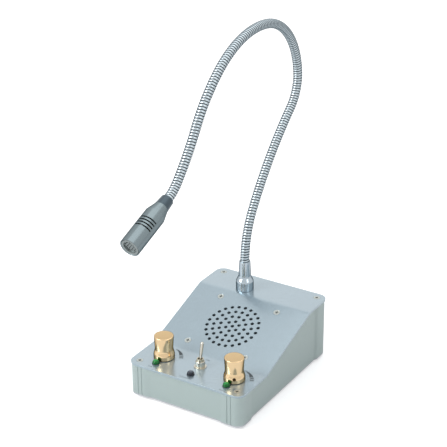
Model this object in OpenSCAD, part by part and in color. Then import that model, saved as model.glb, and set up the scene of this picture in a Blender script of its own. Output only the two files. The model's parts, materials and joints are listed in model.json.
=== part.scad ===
// Counter intercom for a teller window: a sloped aluminium case with a round
// speaker grille, two volume knobs, a toggle switch, three lamps and a
// microphone on a long flexible neck.
// Origin: centre of the base plate's underside. X to the right, Y to the rear, Z up.

/* [Case] */
// Width of the case, left to right
case_w = 120; // [112:1:150]
// Depth of the case, front to rear
case_d = 160; // [150:1:190]
// Height of the front flat of the top plate
front_h = 32.6; // [30:0.2:42]
// Height of the rear flat of the top plate
rear_h = 59; // [52:0.5:70]
// Depth of the front flat
front_flat = 44; // [40:0.5:46]
// Depth of the rear flat
rear_flat = 37; // [34:0.5:42]
// Thickness of the case wall between the corner posts
wall_t = 2.5; // [1.5:0.1:3.5]
// Radius of the upright corners
corner_r = 8.5; // [6:0.5:10]
// How far the walls lie back behind the top plate's edge
recess = 2.2; // [1.5:0.1:3]
// How far the top plate's edge reaches over the corner posts
lip = 0.8; // [0.3:0.1:1.2]
// Width of a corner post on the front and the rear
post_x = 20.5; // [18:0.5:24]
// Width of a corner post on the sides
post_y = 19; // [17:0.5:24]
// Width of the slanted step between a post and a wall
step_w = 3; // [1.5:0.5:4]
// Radius of the fine flutes on the posts
flute_r = 0.5; // [0.3:0.1:0.8]
// Distance of the outer flute from the side of the case
flute_x = 11; // [10.5:0.2:12]
// Distance between the two flutes of a post
flute_pitch = 3.8; // [3:0.2:4.5]

/* [Plates] */
// Thickness of the bent top plate
plate_t = 2; // [1.5:0.1:3]
// Outer radius of the two folds in the top plate
fold_r = 14; // [8:1:18]
// Thickness of the base plate
base_t = 1.5; // [1:0.1:2.5]
// Distance of the case screws from the side of the case
screw_in_x = 8.6; // [7.5:0.1:9.5]
// Distance of the case screws from the front and the rear
screw_in_y = 7.8; // [7:0.1:9]
// Radius of the screw channel in a post
channel_r = 4.6; // [4:0.1:5.5]
// Thread diameter of the case screws
screw_d = 3; // [2.5:0.1:3.5]
// Head diameter of the countersunk screws
head_d = 6.2; // [5:0.1:6.6]
// Length of the case screws
screw_l = 12; // [8:1:18]
// Play round a screw, on the radius
screw_play = 0.15; // [0.1:0.05:0.3]
// Diameter of a rubber foot
foot_d = 12; // [9:1:16]
// Height of a rubber foot
foot_h = 2.5; // [1.5:0.5:5]
// Distance of a foot's centre from the side, the front and the rear
foot_in = 19; // [17:1:24]

/* [Speaker] */
// Distance of the speaker's centre from the rear fold, down the slope
speaker_down = 41; // [39:0.1:43]
// Number of rings of holes in the grille
grille_rings = 4; // [2:1:4]
// Distance between two rings of holes
grille_pitch = 6.2; // [5:0.1:6.6]
// Diameter of a hole in the grille
grille_hole = 3.4; // [1.5:0.1:3.6]
// Distance between two speaker screws
speaker_bolts = 61; // [59:0.5:63]
// Width of the square speaker frame
speaker_w = 70; // [69:0.5:74]
// Thickness of the dust cloth behind the grille
cloth_t = 0.4; // [0.2:0.1:0.8]
// Thickness of the speaker's sheet steel
frame_t = 1; // [0.8:0.1:1.4]
// Radius of the cone's mouth
cone_r = 30; // [26:0.5:30]
// Depth of the speaker basket
basket_h = 12; // [9:0.5:14]
// Radius of the basket's floor
basket_r = 18; // [16:0.5:20]
// Radius of the magnet
magnet_r = 20; // [16:0.5:21]
// Thickness of the magnet
magnet_h = 7; // [5:0.5:8]

/* [Controls] */
// How far the row of controls lies to the right of the middle
controls_x = 1.5; // [0:0.5:2]
// Distance between the two volume knobs
knob_gap = 74.4; // [70:0.2:76]
// Distance of the knobs from the front edge
knob_y = 24; // [22:0.5:26]
// Height of a knob
knob_h = 22.5; // [20:0.5:26]
// Diameter of a knob at its skirt
skirt_d = 19.4; // [18:0.1:20]
// Diameter of a knob at its waist
waist_d = 16.8; // [15:0.1:17.5]
// Diameter of a knob at its top
crown_d = 17.8; // [16:0.1:18.5]
// Height of the straight part of the skirt
skirt_h = 3.5; // [2.5:0.1:4.5]
// Play between a knob and the plate
knob_play = 0.5; // [0.3:0.1:1]
// Diameter of a volume control's shaft
shaft_d = 6; // [5:0.1:6.4]
// Running play of a shaft, on the radius
shaft_play = 0.05; // [0.02:0.01:0.1]
// Diameter of a volume control's threaded bush
bush_d = 7.6; // [7.4:0.1:8.4]
// Height of the bush above the plate
bush_h = 3; // [2.4:0.1:3.4]
// Diameter of a volume control's case
pot_d = 16.5; // [14:0.5:17]
// Height of a volume control's case
pot_h = 8.5; // [7:0.5:10]
// Diameter of the grub screw in a knob
grub_d = 3; // [2.5:0.1:3.4]
// Play round a threaded bush in the plate, on the radius
bush_play = 0.1; // [0.05:0.05:0.3]
// Distance of the toggle switch from the front edge
switch_y = 26.5; // [25:0.5:28]
// Diameter of the switch's threaded bush
switch_bush_d = 6.35; // [6:0.05:6.8]
// Height of the switch's bush above the plate
switch_bush_h = 8.5; // [8:0.5:10]
// Lean of the lever from upright, towards the rear
lever_lean = 12; // [8:1:12]
// Length of the lever above its pivot
lever_l = 18.5; // [14:0.5:20]
// Radius of the lever's ball
ball_r = 2.1; // [1.9:0.05:2.15]
// Width of the switch's case
switch_w = 13; // [11:0.5:14]
// Depth of the switch's case, front to rear
switch_d = 12; // [11:0.5:13]
// Height of the switch's case
switch_h = 10; // [9:0.5:11]
// Distance of the lamps from the front edge
lamp_y = 10.5; // [9.5:0.5:11.5]
// Diameter of a lamp
lamp_d = 5; // [4:0.1:5.4]
// Diameter of a lamp's domed head
lamp_head_d = 6.4; // [5.6:0.1:7]
// Height of a lamp's head above the plate
lamp_h = 4; // [3:0.1:4.5]
// Width of the rim of a lamp's clip
lamp_rim = 0.6; // [0.6:0.1:1.0]

/* [Sockets] */
// Distance between the two sockets in the rear wall
socket_gap = 48; // [40:1:56]
// Height of the sockets' axes
socket_z = 20; // [17:0.5:24]
// Bore of the line socket
line_bore = 3.6; // [3.5:0.05:3.7]
// Depth of the line socket's bore
line_depth = 14; // [12:0.5:15]
// Bore of the power socket
power_bore = 5.6; // [5.5:0.1:5.8]
// Diameter of the power socket's centre pin
power_pin = 2.1; // [2:0.1:2.5]

/* [Neck] */
// How far the neck stands to the left of the middle
neck_x = 16; // [12:0.5:20]
// Distance of the neck from the rear edge
neck_in = 27; // [25:0.5:27.5]
// Outer diameter of the flexible neck
neck_d = 8.8; // [8:0.1:9]
// Length of the free neck, from the collar's mouth to the microphone
neck_l = 495; // [480:1:515]
// Depth of the grooves between the turns of the neck
groove = 0.65; // [0.4:0.05:0.8]
// Distance between two turns of the neck
turn_pitch = 2.6; // [2.55:0.05:4]
// Bore of the neck
neck_bore = 4.6; // [4:0.1:4.8]
// Diameter of the microphone lead inside the neck
lead_d = 3; // [2:0.1:3.2]
// Play where two stretches of the neck meet
bend_play = 0.85; // [0.8:0.05:0.95]
// Radius of a stretch's end where it meets the next
nose_r = 3; // [2.8:0.1:3.1]
// Length of neck between the collar and its first bend
first_bend = 25; // [20:1:30]
// Length of neck from each bend to the next
bend_step = 58; // [55:1:60]

/* [Collar and microphone] */
// Diameter of the collar at its foot
collar_d = 16.8; // [15:0.1:17.2]
// Height of the collar
collar_h = 29.5; // [26:0.5:34]
// Length of neck inside the collar
seat_l = 18; // [14:1:22]
// Thread diameter of the collar's stub
stub_d = 10; // [9:0.1:10.5]
// Length of the microphone head
mic_l = 60; // [56:0.5:66]
// Diameter of the microphone barrel
mic_d = 18.5; // [17:0.1:20]
// Wall of the microphone barrel
mic_wall = 1.2; // [0.8:0.1:1.6]
// Length of the microphone's grey collar
ferrule_l = 10.5; // [8:0.5:12]
// Length of the cone between the grey collar and the barrel
shoulder_l = 10; // [7:0.5:12]
// Width of a slot in the barrel
slot_w = 1.4; // [0.8:0.1:1.6]
// Distance between two slots
slot_pitch = 3.1; // [2.4:0.1:3.3]
// Distance of the first slot from the cone
slot_in = 10; // [5:0.5:12]
// Number of slots in a group
slot_count = 4; // [2:1:5]
// Angle that a slot spans
slot_arc = 104; // [60:2:120]
// Depth of the grille in the microphone's mouth
mouth_depth = 1.6; // [1:0.1:3]
// Radius of the opening in the microphone's cap
mouth_r = 6.2; // [5:0.1:7]

/* [Hidden] */

$fn = 48;
eps = 0.01;
seat = 0.05;                        // clearance where turned faces sit in one another
half_w = case_w / 2;
half_d = case_d / 2;
silver = [0.70, 0.75, 0.78];
steel = [0.78, 0.79, 0.80];
gold = [0.86, 0.68, 0.38];

// The top plate's profile: front flat, slope and rear flat
y_low = -half_d + front_flat;       // front fold
y_high = half_d - rear_flat;        // rear fold
rise = rear_h - front_h;
slope = atan2(rise, y_high - y_low);
speaker_u = (y_high - y_low) / cos(slope) - speaker_down;
under_plate = rear_h - plate_t;     // underside of the plate's rear flat
front_under = front_h - plate_t;    // underside of the plate's front flat

fold_steps = 6;
foot_seat = 0.5;                    // depth of a foot's round seat in the base plate
foot_play = 0.1;

screw_x = half_w - screw_in_x;
screw_y = half_d - screw_in_y;
head_h = (head_d - screw_d) / 2;
wall_x = half_w - recess;           // outer face of the side walls
wall_y = half_d - recess;           // outer face of the front and rear walls
post_w = half_w - lip;              // outer faces of the posts
post_d = half_d - lip;

knob_x = [controls_x - knob_gap / 2, controls_x + knob_gap / 2];
knob_at = -half_d + knob_y;
switch_at = -half_d + switch_y;
lamp_at = -half_d + lamp_y;
lamp_x = [knob_x[0], knob_x[1], controls_x];
clip_d = lamp_d + 1;                // sleeve of a lamp's clip
clip_l = plate_t + 2.5;
lamp_rim_h = 0.5;
leg_l = 9;                          // length of a lamp's legs

// Knob interior: a pocket clears the nut, a bore takes the shaft
pot_nut_af = 10.5;
pot_nut_h = 2;
pocket_d = pot_nut_af / cos(30) + 1;
pocket_h = bush_h + 0.3 - knob_play;
shaft_top = knob_h - 3.5;
grub_z = bush_h + 0.3 + grub_d / 2 + 0.2;
notch_turn = [160, 31];             // way each knob's grub screw looks, from the front

pivot_z = 5.5;                      // lever's pivot above the plate
lever_foot_r = 1.2;
lever_tip_r = 1.6;
switch_nut_d = 8.6;
switch_nut_h = 5.6;
switch_washer_t = 0.7;

neck_y = half_d - neck_in;
collar_top = rear_h + collar_h;
neck_r = neck_d / 2;
// The neck's curve as arcs: [share of the length, turn], a positive turn leans it to the rear
NECK_SHARES = [[51, 33], [105, 17], [37, -56], [92, -75], [87, -46], [57, -21], [48, 12], [18, 25]];
arc_unit = neck_l / total([for (share = NECK_SHARES) share[0]]);
NECK_ARCS = [for (share = NECK_SHARES) [share[0] * arc_unit, share[1]]];
neck_play = 0.1;                    // play round the neck in its collar and ferrule
mic_seat = 6;                       // length of neck inside the ferrule
neck_ends = [-seat_l, for (i = [0:7]) first_bend + i * bend_step, neck_l + mic_seat];
neck_end = along_neck(neck_l);
stub_l = 12;
neck_nut_af = 13;
neck_nut_h = 4;

// Speaker, measured square to the slope from the plate's top
cloth_z = -plate_t - cloth_t;
frame_z = cloth_z - frame_t;
basket_z = frame_z - basket_h;
coil_r = 8;
gap_r = coil_r + 1;
yoke_h = 3;
window_w = 18;                      // width of a window in the basket
window_in = 2.5;                    // distance of the windows from the basket's floor and flange
tab_w = 12;
tab_d = 4;
tab_v = 27;                         // distance of the wires from the speaker's centre
tab_z = basket_z + 3;
speaker_screw_l = 8;
small_nut_af = 5.5;
small_nut_h = 2.4;

socket_barrel_d = 8;
socket_depth = 13;
socket_nut_af = 10;
socket_nut_h = 2;
power_body_d = 12;
line_body_d = 11;
power_depth = 10;

// Microphone head, measured along its axis from the end of the free neck
ferrule_end_r = 6.5;
spigot_r = 5;
spigot_l = 4;
mic_bore_r = mic_d / 2 - mic_wall;
slot_turn = 18;
foam_h = 6;
grille_z = mic_l - mouth_depth - 1;
capsule_z = grille_z - foam_h - 2;

board_w = 84;
board_front = -34;
board_over = 7;                     // how far the board reaches behind the neck's axis
board_rear = neck_y + board_over;
board_rise = 6;
board_z = base_t + board_rise;
board_t = 1.6;
board_top = board_z + board_t;
board_hole_in = 4;
header_w = 10;
header_d = 7;
header_h = 6;
chip_w = 14;
chip_d = 8;
chip_h = 3;
chip_in = 14;                       // from the board's front to the chips
chip_x = 22;
pin_pitch = 2.3;
// Capacitors: [x, distance from the board's rear, diameter, height]
CAPACITORS = [[-34, 16, 10, 18], [-34, 30, 10, 18], [34, 34, 8, 12]];
sink_x = 12;
sink_in = 20;                       // from the board's rear to the heat sink
sink_w = 26;
sink_h = 20;
fin_l = 11;
fin_t = 1.5;
fin_pitch = 4.9;

// ---------------------------------------------------------------- helpers

function total(v, i = 0) = i >= len(v) ? 0 : v[i] + total(v, i + 1);

// Point and heading [y, z, heading] at the length s along the neck; 0 is the collar's mouth
function along_neck(s, i = 0, at = [neck_y, collar_top, 0]) =
    s <= 0 ? [at[0] + s * sin(at[2]), at[1] + s * cos(at[2]), at[2]]
    : i >= len(NECK_ARCS) ? [at[0] + s * sin(at[2]), at[1] + s * cos(at[2]), at[2]]
    : let (step = min(s, NECK_ARCS[i][0]), heading = at[2] + NECK_ARCS[i][1] * step / NECK_ARCS[i][0],
           r = NECK_ARCS[i][0] / (NECK_ARCS[i][1] * PI / 180),
           next = [at[0] + r * (cos(at[2]) - cos(heading)), at[1] + r * (sin(heading) - sin(at[2])), heading])
      s <= NECK_ARCS[i][0] ? next : along_neck(s - NECK_ARCS[i][0], i + 1, next);

// One ring of the neck: points at radius r round its centre line at s
function neck_ring(s, r, sides) = let (at = along_neck(s))
    [for (k = [0:sides - 1]) let (a = 360 * k / sides)
        [-neck_x + r * cos(a), at[0] + r * sin(a) * cos(at[2]), at[1] - r * sin(a) * sin(at[2])]];

// Triangles between two rings of points that start at the indices a and b
function band(a, b, sides) = [for (k = [0:sides - 1]) let (n = (k + 1) % sides)
    each [[a + k, b + n, a + n], [a + k, b + k, b + n]]];

// Triangle fan over one ring
function fan(a, sides, flip) = [for (k = [1:sides - 2]) flip ? [a, a + k, a + k + 1] : [a, a + k + 1, a + k]];

function flat(v) = [for (ring = v) each ring];

module at4(x, y) {
    for (i = [-1, 1], j = [-1, 1]) translate([i * x, j * y, 0]) children();
}

// Places children on the slope: origin on the plate's top, Z square to it
module on_slope(u) {
    translate([0, y_low + u * cos(slope), front_h + u * sin(slope)]) rotate([slope, 0, 0]) children();
}

// Places children on the microphone's axis, Z from the neck towards the mouth
module on_mic() {
    translate([-neck_x, neck_end[0], neck_end[1]]) rotate([-neck_end[2], 0, 0]) children();
}

module hex(af, h) {
    cylinder(d = af / cos(30), h = h, $fn = 6);
}

module cross_slot(width, depth) {
    for (turn = [0, 90]) rotate([0, 0, turn])
        translate([-width / 2, -0.4, -depth]) cube([width, 0.8, depth + 1]);
}

// Countersunk cross-head screw: head flush with z = 0, shank down to -length
module flat_screw(length) {
    difference() {
        union() {
            translate([0, 0, -head_h]) cylinder(d1 = screw_d, d2 = head_d, h = head_h);
            translate([0, 0, -length]) cylinder(d = screw_d, h = length - head_h + eps);
        }
        cross_slot(head_d * 0.48, head_h * 0.6);
    }
}

// The hole for such a screw
module flat_screw_hole(length) {
    translate([0, 0, -length]) cylinder(d = screw_d + 2 * screw_play, h = length + 1);
    translate([0, 0, -head_h - seat])
        cylinder(d1 = screw_d, d2 = head_d + 2 * (screw_play + seat), h = head_h + 2 * seat);
}

// ---------------------------------------------------------------- the case

// One quarter of the case's outline: a rounded post and its slanted steps
module quarter_outline() {
    translate([half_w - corner_r, half_d - corner_r]) circle(r = corner_r - lip);
    polygon([[0, 0], [wall_x, 0], [wall_x, half_d - post_y - step_w], [post_w, half_d - post_y],
        [post_w, half_d - corner_r], [half_w - corner_r, half_d - corner_r], [half_w - corner_r, post_d],
        [half_w - post_x, post_d], [half_w - post_x - step_w, wall_y], [0, wall_y]]);
}

module case_outline() {
    for (x = [0, 1], y = [0, 1]) mirror([x, 0]) mirror([0, y]) quarter_outline();
}

module plate_outline() {
    offset(r = corner_r) square([case_w - 2 * corner_r, case_d - 2 * corner_r], center = true);
}

// Points of a fold in fold_steps flats, about the centre c
function fold(c, r, from, to) = [for (i = [0:fold_steps])
    let (a = from + (to - from) * i / fold_steps) c + r * [sin(a), -cos(a)]];

// Everything under the top plate's surface, lowered by drop
module profile(drop) {
    tangent = fold_r * tan(slope / 2);
    polygon(concat([[case_d, -1], [-case_d, -1], [-case_d, front_h - drop]],
        fold([y_low - tangent, front_h + fold_r], fold_r + drop, 0, slope),
        fold([y_high + tangent, rear_h - fold_r], drop - fold_r, slope, 0), [[case_d, rear_h - drop]]));
}

module profile_solid(drop) {
    rotate([90, 0, 90]) linear_extrude(height = case_w + 2, center = true) profile(drop);
}

// Fine upright flutes in the front and rear faces of the posts
module post_flutes() {
    for (side = [-1, 1], face = [-1, 1], x = [flute_x, flute_x + flute_pitch])
        translate([side * (half_w - x), face * post_d, 0]) cylinder(r = flute_r, h = rear_h, $fn = 24);
}

module case_ring() {
    inner_x = wall_x - wall_t;
    inner_y = wall_y - wall_t;
    color(silver) difference() {
        intersection() {
            translate([0, 0, base_t]) linear_extrude(height = rear_h) difference() {
                case_outline();
                difference() {
                    square([2 * inner_x, 2 * inner_y], center = true);
                    for (x = [-1, 1], y = [-1, 1]) {
                        translate([x * screw_x, y * screw_y]) circle(r = channel_r);
                        translate([x * (screw_x + half_w) / 2, y * screw_y])
                            square([half_w - screw_x, 2 * channel_r], center = true);
                        translate([x * screw_x, y * (screw_y + half_d) / 2])
                            square([2 * channel_r, half_d - screw_y], center = true);
                    }
                }
            }
            profile_solid(plate_t);
        }
        at4(screw_x, screw_y) cylinder(d = screw_d + 2 * screw_play, h = rear_h);
        post_flutes();
        for (x = [-1, 1]) translate([x * socket_gap / 2, half_d, socket_z]) rotate([90, 0, 0])
            cylinder(d = socket_barrel_d + 2 * bush_play, h = 3 * recess + wall_t);
    }
}

module top_plate() {
    color([0.72, 0.78, 0.83]) difference() {
        intersection() {
            linear_extrude(height = rear_h + 1) plate_outline();
            difference() {
                profile_solid(0);
                profile_solid(plate_t);
            }
        }
        on_slope(speaker_u) {
            grille_holes();
            at4(speaker_bolts / 2, speaker_bolts / 2) flat_screw_hole(plate_t + 1);
        }
        for (x = [-1, 1]) {
            translate([x * screw_x, -screw_y, front_h]) flat_screw_hole(plate_t + 1);
            translate([x * screw_x, screw_y, rear_h]) flat_screw_hole(plate_t + 1);
        }
        for (x = knob_x) translate([x, knob_at, front_under - 1])
            cylinder(d = bush_d + 2 * bush_play, h = plate_t + 2);
        translate([controls_x, switch_at, front_under - 1])
            cylinder(d = switch_bush_d + 2 * bush_play, h = plate_t + 2);
        for (x = lamp_x) translate([x, lamp_at, front_under - 1])
            cylinder(d = clip_d + 2 * bush_play, h = plate_t + 2);
        translate([-neck_x, neck_y, under_plate - 1])
            cylinder(d = stub_d + 2 * bush_play, h = plate_t + 2);
    }
}

// Rings of holes round a middle one; every other ring is turned by half a step
module grille_holes() {
    for (ring = [0:grille_rings], k = [1:max(1, 6 * ring)])
        rotate([0, 0, (k - ring % 2 / 2) * 360 / max(1, 6 * ring)])
            translate([ring * grille_pitch, 0, -plate_t - 1])
                cylinder(d = grille_hole, h = plate_t + 2, $fn = 24);
}

module base_plate() {
    color(steel) difference() {
        linear_extrude(height = base_t) case_outline();
        at4(screw_x, screw_y) mirror([0, 0, 1]) flat_screw_hole(base_t + 1);
        at4(half_w - foot_in, half_d - foot_in) translate([0, 0, -1])
            cylinder(d = foot_d + 2 * foot_play, h = 1 + foot_seat);
    }
}

module rubber_feet() {
    color([0.10, 0.10, 0.10]) at4(half_w - foot_in, half_d - foot_in)
        translate([0, 0, -foot_h]) cylinder(d1 = foot_d - 1, d2 = foot_d, h = foot_h + foot_seat);
}

module top_screws() {
    color(steel) for (x = [-1, 1]) {
        translate([x * screw_x, -screw_y, front_h]) flat_screw(screw_l);
        translate([x * screw_x, screw_y, rear_h]) flat_screw(screw_l);
    }
}

module base_screws() {
    color(steel) at4(screw_x, screw_y) mirror([0, 0, 1]) flat_screw(screw_l);
}

// ---------------------------------------------------------------- speaker

// Square sheet with rounded corners and holes for the speaker screws
module speaker_sheet(thickness) {
    difference() {
        intersection() {
            translate([-speaker_w / 2, -speaker_w / 2, 0]) cube([speaker_w, speaker_w, thickness]);
            cylinder(d = speaker_bolts * sqrt(2) + 2 * head_d - 3, h = thickness, $fn = 96);
        }
        at4(speaker_bolts / 2, speaker_bolts / 2) translate([0, 0, -1])
            cylinder(d = screw_d + 2 * screw_play, h = thickness + 2);
    }
}

module grille_cloth() {
    color([0.05, 0.05, 0.05]) on_slope(speaker_u) translate([0, 0, cloth_z]) speaker_sheet(cloth_t);
}

module speaker_frame() {
    color(steel) on_slope(speaker_u) difference() {
        union() {
            translate([0, 0, frame_z]) speaker_sheet(frame_t);
            translate([0, 0, basket_z]) cylinder(r1 = basket_r + frame_t, r2 = cone_r + 1 + frame_t, h = basket_h);
            translate([0, 0, basket_z - frame_t]) cylinder(r = basket_r + frame_t, h = frame_t);
            translate([-tab_w / 2, 0, tab_z]) cube([tab_w, tab_v + tab_d / 2, frame_t]);
        }
        translate([0, 0, basket_z]) cylinder(r1 = basket_r, r2 = cone_r + 1, h = basket_h + eps);
        translate([0, 0, frame_z - eps]) cylinder(r = cone_r + 1, h = frame_t + 1);
        translate([0, 0, basket_z - 2]) cylinder(r = gap_r, h = 4);
        for (turn = [45:90:315]) rotate([0, 0, turn])
            translate([basket_r - 2, -window_w / 2, basket_z + window_in])
                cube([cone_r, window_w, basket_h - 2 * window_in]);
    }
}

// Paper cone with its rim, dust cap and coil former
module speaker_cone() {
    rim_r = cone_r + 0.9;
    low = basket_z - frame_t - magnet_h + 1;
    wall = 0.6;
    throat_z = basket_z + 2;
    color([0.12, 0.12, 0.13]) on_slope(speaker_u) rotate_extrude($fn = 72) polygon([
        [rim_r, frame_z + wall], [rim_r, frame_z], [cone_r - 3, frame_z], [coil_r, throat_z - wall], [coil_r, low],
        [coil_r - wall, low], [coil_r - wall, throat_z + 1], [0, throat_z + 3], [0, throat_z + 3 + wall],
        [coil_r, throat_z + 1 + wall], [coil_r, throat_z + wall], [cone_r - 3, frame_z + wall]]);
}

// Ring magnet with its yoke and centre pole
module speaker_magnet() {
    top = basket_z - frame_t;
    color([0.25, 0.25, 0.27]) on_slope(speaker_u) {
        difference() {
            translate([0, 0, top - magnet_h - yoke_h]) cylinder(r = magnet_r, h = magnet_h + yoke_h, $fn = 72);
            translate([0, 0, top - magnet_h]) cylinder(r = gap_r, h = magnet_h + 1);
        }
        translate([0, 0, top - magnet_h - eps]) cylinder(r = coil_r - 1.4, h = magnet_h);
    }
}

module speaker_screws() {
    color(steel) on_slope(speaker_u) at4(speaker_bolts / 2, speaker_bolts / 2)
        flat_screw(speaker_screw_l);
}

module speaker_nuts() {
    color(steel) on_slope(speaker_u) at4(speaker_bolts / 2, speaker_bolts / 2)
        translate([0, 0, frame_z - small_nut_h]) difference() {
            hex(small_nut_af, small_nut_h);
            translate([0, 0, -1]) cylinder(d = screw_d + 2 * screw_play, h = small_nut_h + 2);
        }
}

// Two wires from the speaker's tab straight down to the board
module speaker_wires() {
    tab_y = y_low + (speaker_u + tab_v) * cos(slope) - tab_z * sin(slope);
    tab_low = front_h + (speaker_u + tab_v - tab_d / 2) * sin(slope) + tab_z * cos(slope);
    color([0.75, 0.10, 0.10]) for (x = [-1, 1]) translate([x * tab_w / 4, tab_y, board_top])
        cylinder(d = 1.4, h = tab_low - board_top, $fn = 24);
}

// ---------------------------------------------------------------- board

module main_board() {
    color([0.10, 0.35, 0.20]) difference() {
        translate([-board_w / 2, board_front, board_z]) cube([board_w, board_rear - board_front, board_t]);
        board_holes() cylinder(d = screw_d + 2 * screw_play, h = rear_h);
    }
}

module board_holes() {
    for (x = [-1, 1], y = [board_front + board_hole_in, board_rear - board_hole_in])
        translate([x * (board_w / 2 - board_hole_in), y, 0]) children();
}

module board_posts() {
    color(steel) board_holes() translate([0, 0, base_t]) difference() {
        cylinder(d = 2 * screw_d, h = board_z - base_t);
        translate([0, 0, 1]) cylinder(d = screw_d + 2 * screw_play, h = board_z);
    }
}

module board_screws() {
    color(steel) board_holes() translate([0, 0, board_top]) difference() {
        union() {
            cylinder(d = head_d - 0.4, h = 2);
            translate([0, 0, -board_t - 3.5]) cylinder(d = screw_d, h = board_t + 3.6);
        }
        translate([0, 0, 2]) cross_slot(3.5, 1);
    }
}

module amplifier_chips() {
    color([0.08, 0.08, 0.09]) for (x = [-chip_x, chip_x])
        translate([x - chip_w / 2, board_front + chip_in, board_top]) {
            cube([chip_w, chip_d, chip_h]);
            for (k = [0:5], side = [-1, 1])
                translate([1 + k * pin_pitch, chip_d / 2 + side * (chip_d / 2 + 0.5) - 0.4, 0])
                    cube([0.7, 0.8, chip_h / 2]);
        }
}

module capacitors() {
    color([0.15, 0.18, 0.30]) for (place = CAPACITORS)
        translate([place[0], board_rear - place[1], board_top]) difference() {
            cylinder(d = place[2], h = place[3]);
            translate([0, 0, place[3]]) cross_slot(place[2] * 0.6, 0.4);
        }
}

// Finned heat sink standing on the board
module heat_sink() {
    color([0.20, 0.20, 0.21]) translate([sink_x, board_rear - sink_in, board_top]) {
        cube([sink_w, 2.5, sink_h]);
        for (k = [0:5]) translate([k * fin_pitch, 0, 0]) cube([fin_t, fin_l, sink_h]);
    }
}

module mic_header() {
    color([0.92, 0.91, 0.86]) translate([-neck_x - header_w / 2, neck_y - header_d / 2, board_top])
        cube([header_w, header_d, header_h]);
}

module base_lead() {
    color([0.12, 0.12, 0.12]) translate([-neck_x, neck_y, board_top + header_h])
        cylinder(d = lead_d, h = collar_top - seat_l - board_top - header_h);
}

// ---------------------------------------------------------------- controls

module at_control(x, y) {
    translate([x, y, front_h]) children();
}

module pot(x) {
    color([0.55, 0.56, 0.57]) at_control(x, knob_at) difference() {
        union() {
            translate([0, 0, -plate_t - pot_h]) cylinder(d = pot_d, h = pot_h);
            translate([0, 0, -plate_t - eps]) cylinder(d = bush_d, h = plate_t + bush_h);
            for (k = [-1:1]) translate([k * 5 - 0.9, 0, -plate_t - pot_h + 1])
                cube([1.8, pot_d / 2 + 4, 0.8]);
        }
        translate([0, 0, -plate_t - pot_h + 2]) cylinder(d = shaft_d + 2 * shaft_play, h = pot_h + plate_t + bush_h);
    }
}

module pot_shaft(i) {
    color(steel) at_control(knob_x[i], knob_at) rotate([0, 0, notch_turn[i]]) difference() {
        translate([0, 0, -plate_t - pot_h + 2.2]) cylinder(d = shaft_d, h = shaft_top + plate_t + pot_h - 2.2);
        translate([-shaft_d, -shaft_d / 2 - 4, bush_h + 0.1]) cube([2 * shaft_d, 5, knob_h]);
    }
}

module pot_nuts() {
    color(steel) for (x = knob_x) at_control(x, knob_at) difference() {
        hex(pot_nut_af, pot_nut_h);
        translate([0, 0, -1]) cylinder(d = bush_d + 2 * bush_play, h = pot_nut_h + 2);
    }
}

// Turned knob: skirt, flare, waist and crown, over a pocket and a blind bore
module knob(i) {
    flare_h = skirt_h + (skirt_d - waist_d) * 1.6;
    crown_low = knob_h - 4.5;
    color(gold) at_control(knob_x[i], knob_at) rotate([0, 0, notch_turn[i]]) difference() {
        rotate_extrude($fn = 96) polygon([[0, knob_play], [skirt_d / 2 - 0.4, knob_play], [skirt_d / 2, knob_play + 0.4],
            [skirt_d / 2, skirt_h], [skirt_d / 2 - 0.5, skirt_h + 1.2], [waist_d / 2 + 0.25, flare_h - 1.6],
            [waist_d / 2, flare_h], [waist_d / 2, crown_low], [crown_d / 2, crown_low + 2.5],
            [crown_d / 2, knob_h - 0.8], [crown_d / 2 - 0.8, knob_h], [0, knob_h]]);
        translate([0, 0, -1]) cylinder(d = pocket_d, h = pocket_h + knob_play + 1);
        cylinder(d = shaft_d + 2 * shaft_play, h = shaft_top + 0.3);
        translate([0, 0, grub_z]) rotate([90, 0, 0]) cylinder(d = grub_d + 0.1, h = skirt_d);
    }
}

module grub_screw(i) {
    inner = shaft_d / 2 - 1 + seat;
    outer = waist_d / 2 - 0.4;
    color([0.30, 0.29, 0.28]) at_control(knob_x[i], knob_at) rotate([0, 0, notch_turn[i]])
        translate([0, -outer, grub_z]) rotate([-90, 0, 0]) difference() {
            cylinder(d = grub_d, h = outer - inner);
            translate([0, 0, -1]) cylinder(d = 1.7, h = 2.5, $fn = 6);
        }
}

module left_pot() { pot(knob_x[0]); }
module right_pot() { pot(knob_x[1]); }
module left_shaft() { pot_shaft(0); }
module right_shaft() { pot_shaft(1); }
module left_knob() { knob(0); }
module right_knob() { knob(1); }
module left_grub_screw() { grub_screw(0); }
module right_grub_screw() { grub_screw(1); }

module switch_body() {
    color([0.60, 0.10, 0.08]) at_control(controls_x, switch_at) difference() {
        union() {
            translate([-switch_w / 2, -switch_d / 2, -plate_t - switch_h]) cube([switch_w, switch_d, switch_h]);
            translate([0, 0, -plate_t - eps]) cylinder(d = switch_bush_d, h = plate_t + switch_bush_h);
            for (k = [-1:1]) translate([-1, k * 4 - 0.4, -plate_t - switch_h - 4]) cube([2, 0.8, 4.1]);
        }
        translate([0, 0, -1]) cylinder(r = ball_r + 0.1, h = switch_bush_h + 2);
    }
}

module switch_washer() {
    color(steel) at_control(controls_x, switch_at) difference() {
        cylinder(d = switch_nut_d + 3, h = switch_washer_t);
        translate([0, 0, -1]) cylinder(d = switch_bush_d + 2 * bush_play, h = 3);
    }
}

// Round nut with a fluted rim
module switch_nut() {
    color(steel) at_control(controls_x, switch_at) translate([0, 0, switch_washer_t]) difference() {
        union() {
            cylinder(d = switch_nut_d, h = switch_nut_h - 0.5);
            translate([0, 0, switch_nut_h - 0.5]) cylinder(d1 = switch_nut_d, d2 = switch_nut_d - 1, h = 0.5);
        }
        translate([0, 0, -1]) cylinder(d = switch_bush_d + 2 * bush_play, h = switch_nut_h + 2);
        for (turn = [0:30:330]) rotate([0, 0, turn]) translate([switch_nut_d / 2 + 0.2, 0, -1])
            cylinder(r = 0.5, h = switch_nut_h + 2, $fn = 12);
    }
}

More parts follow.
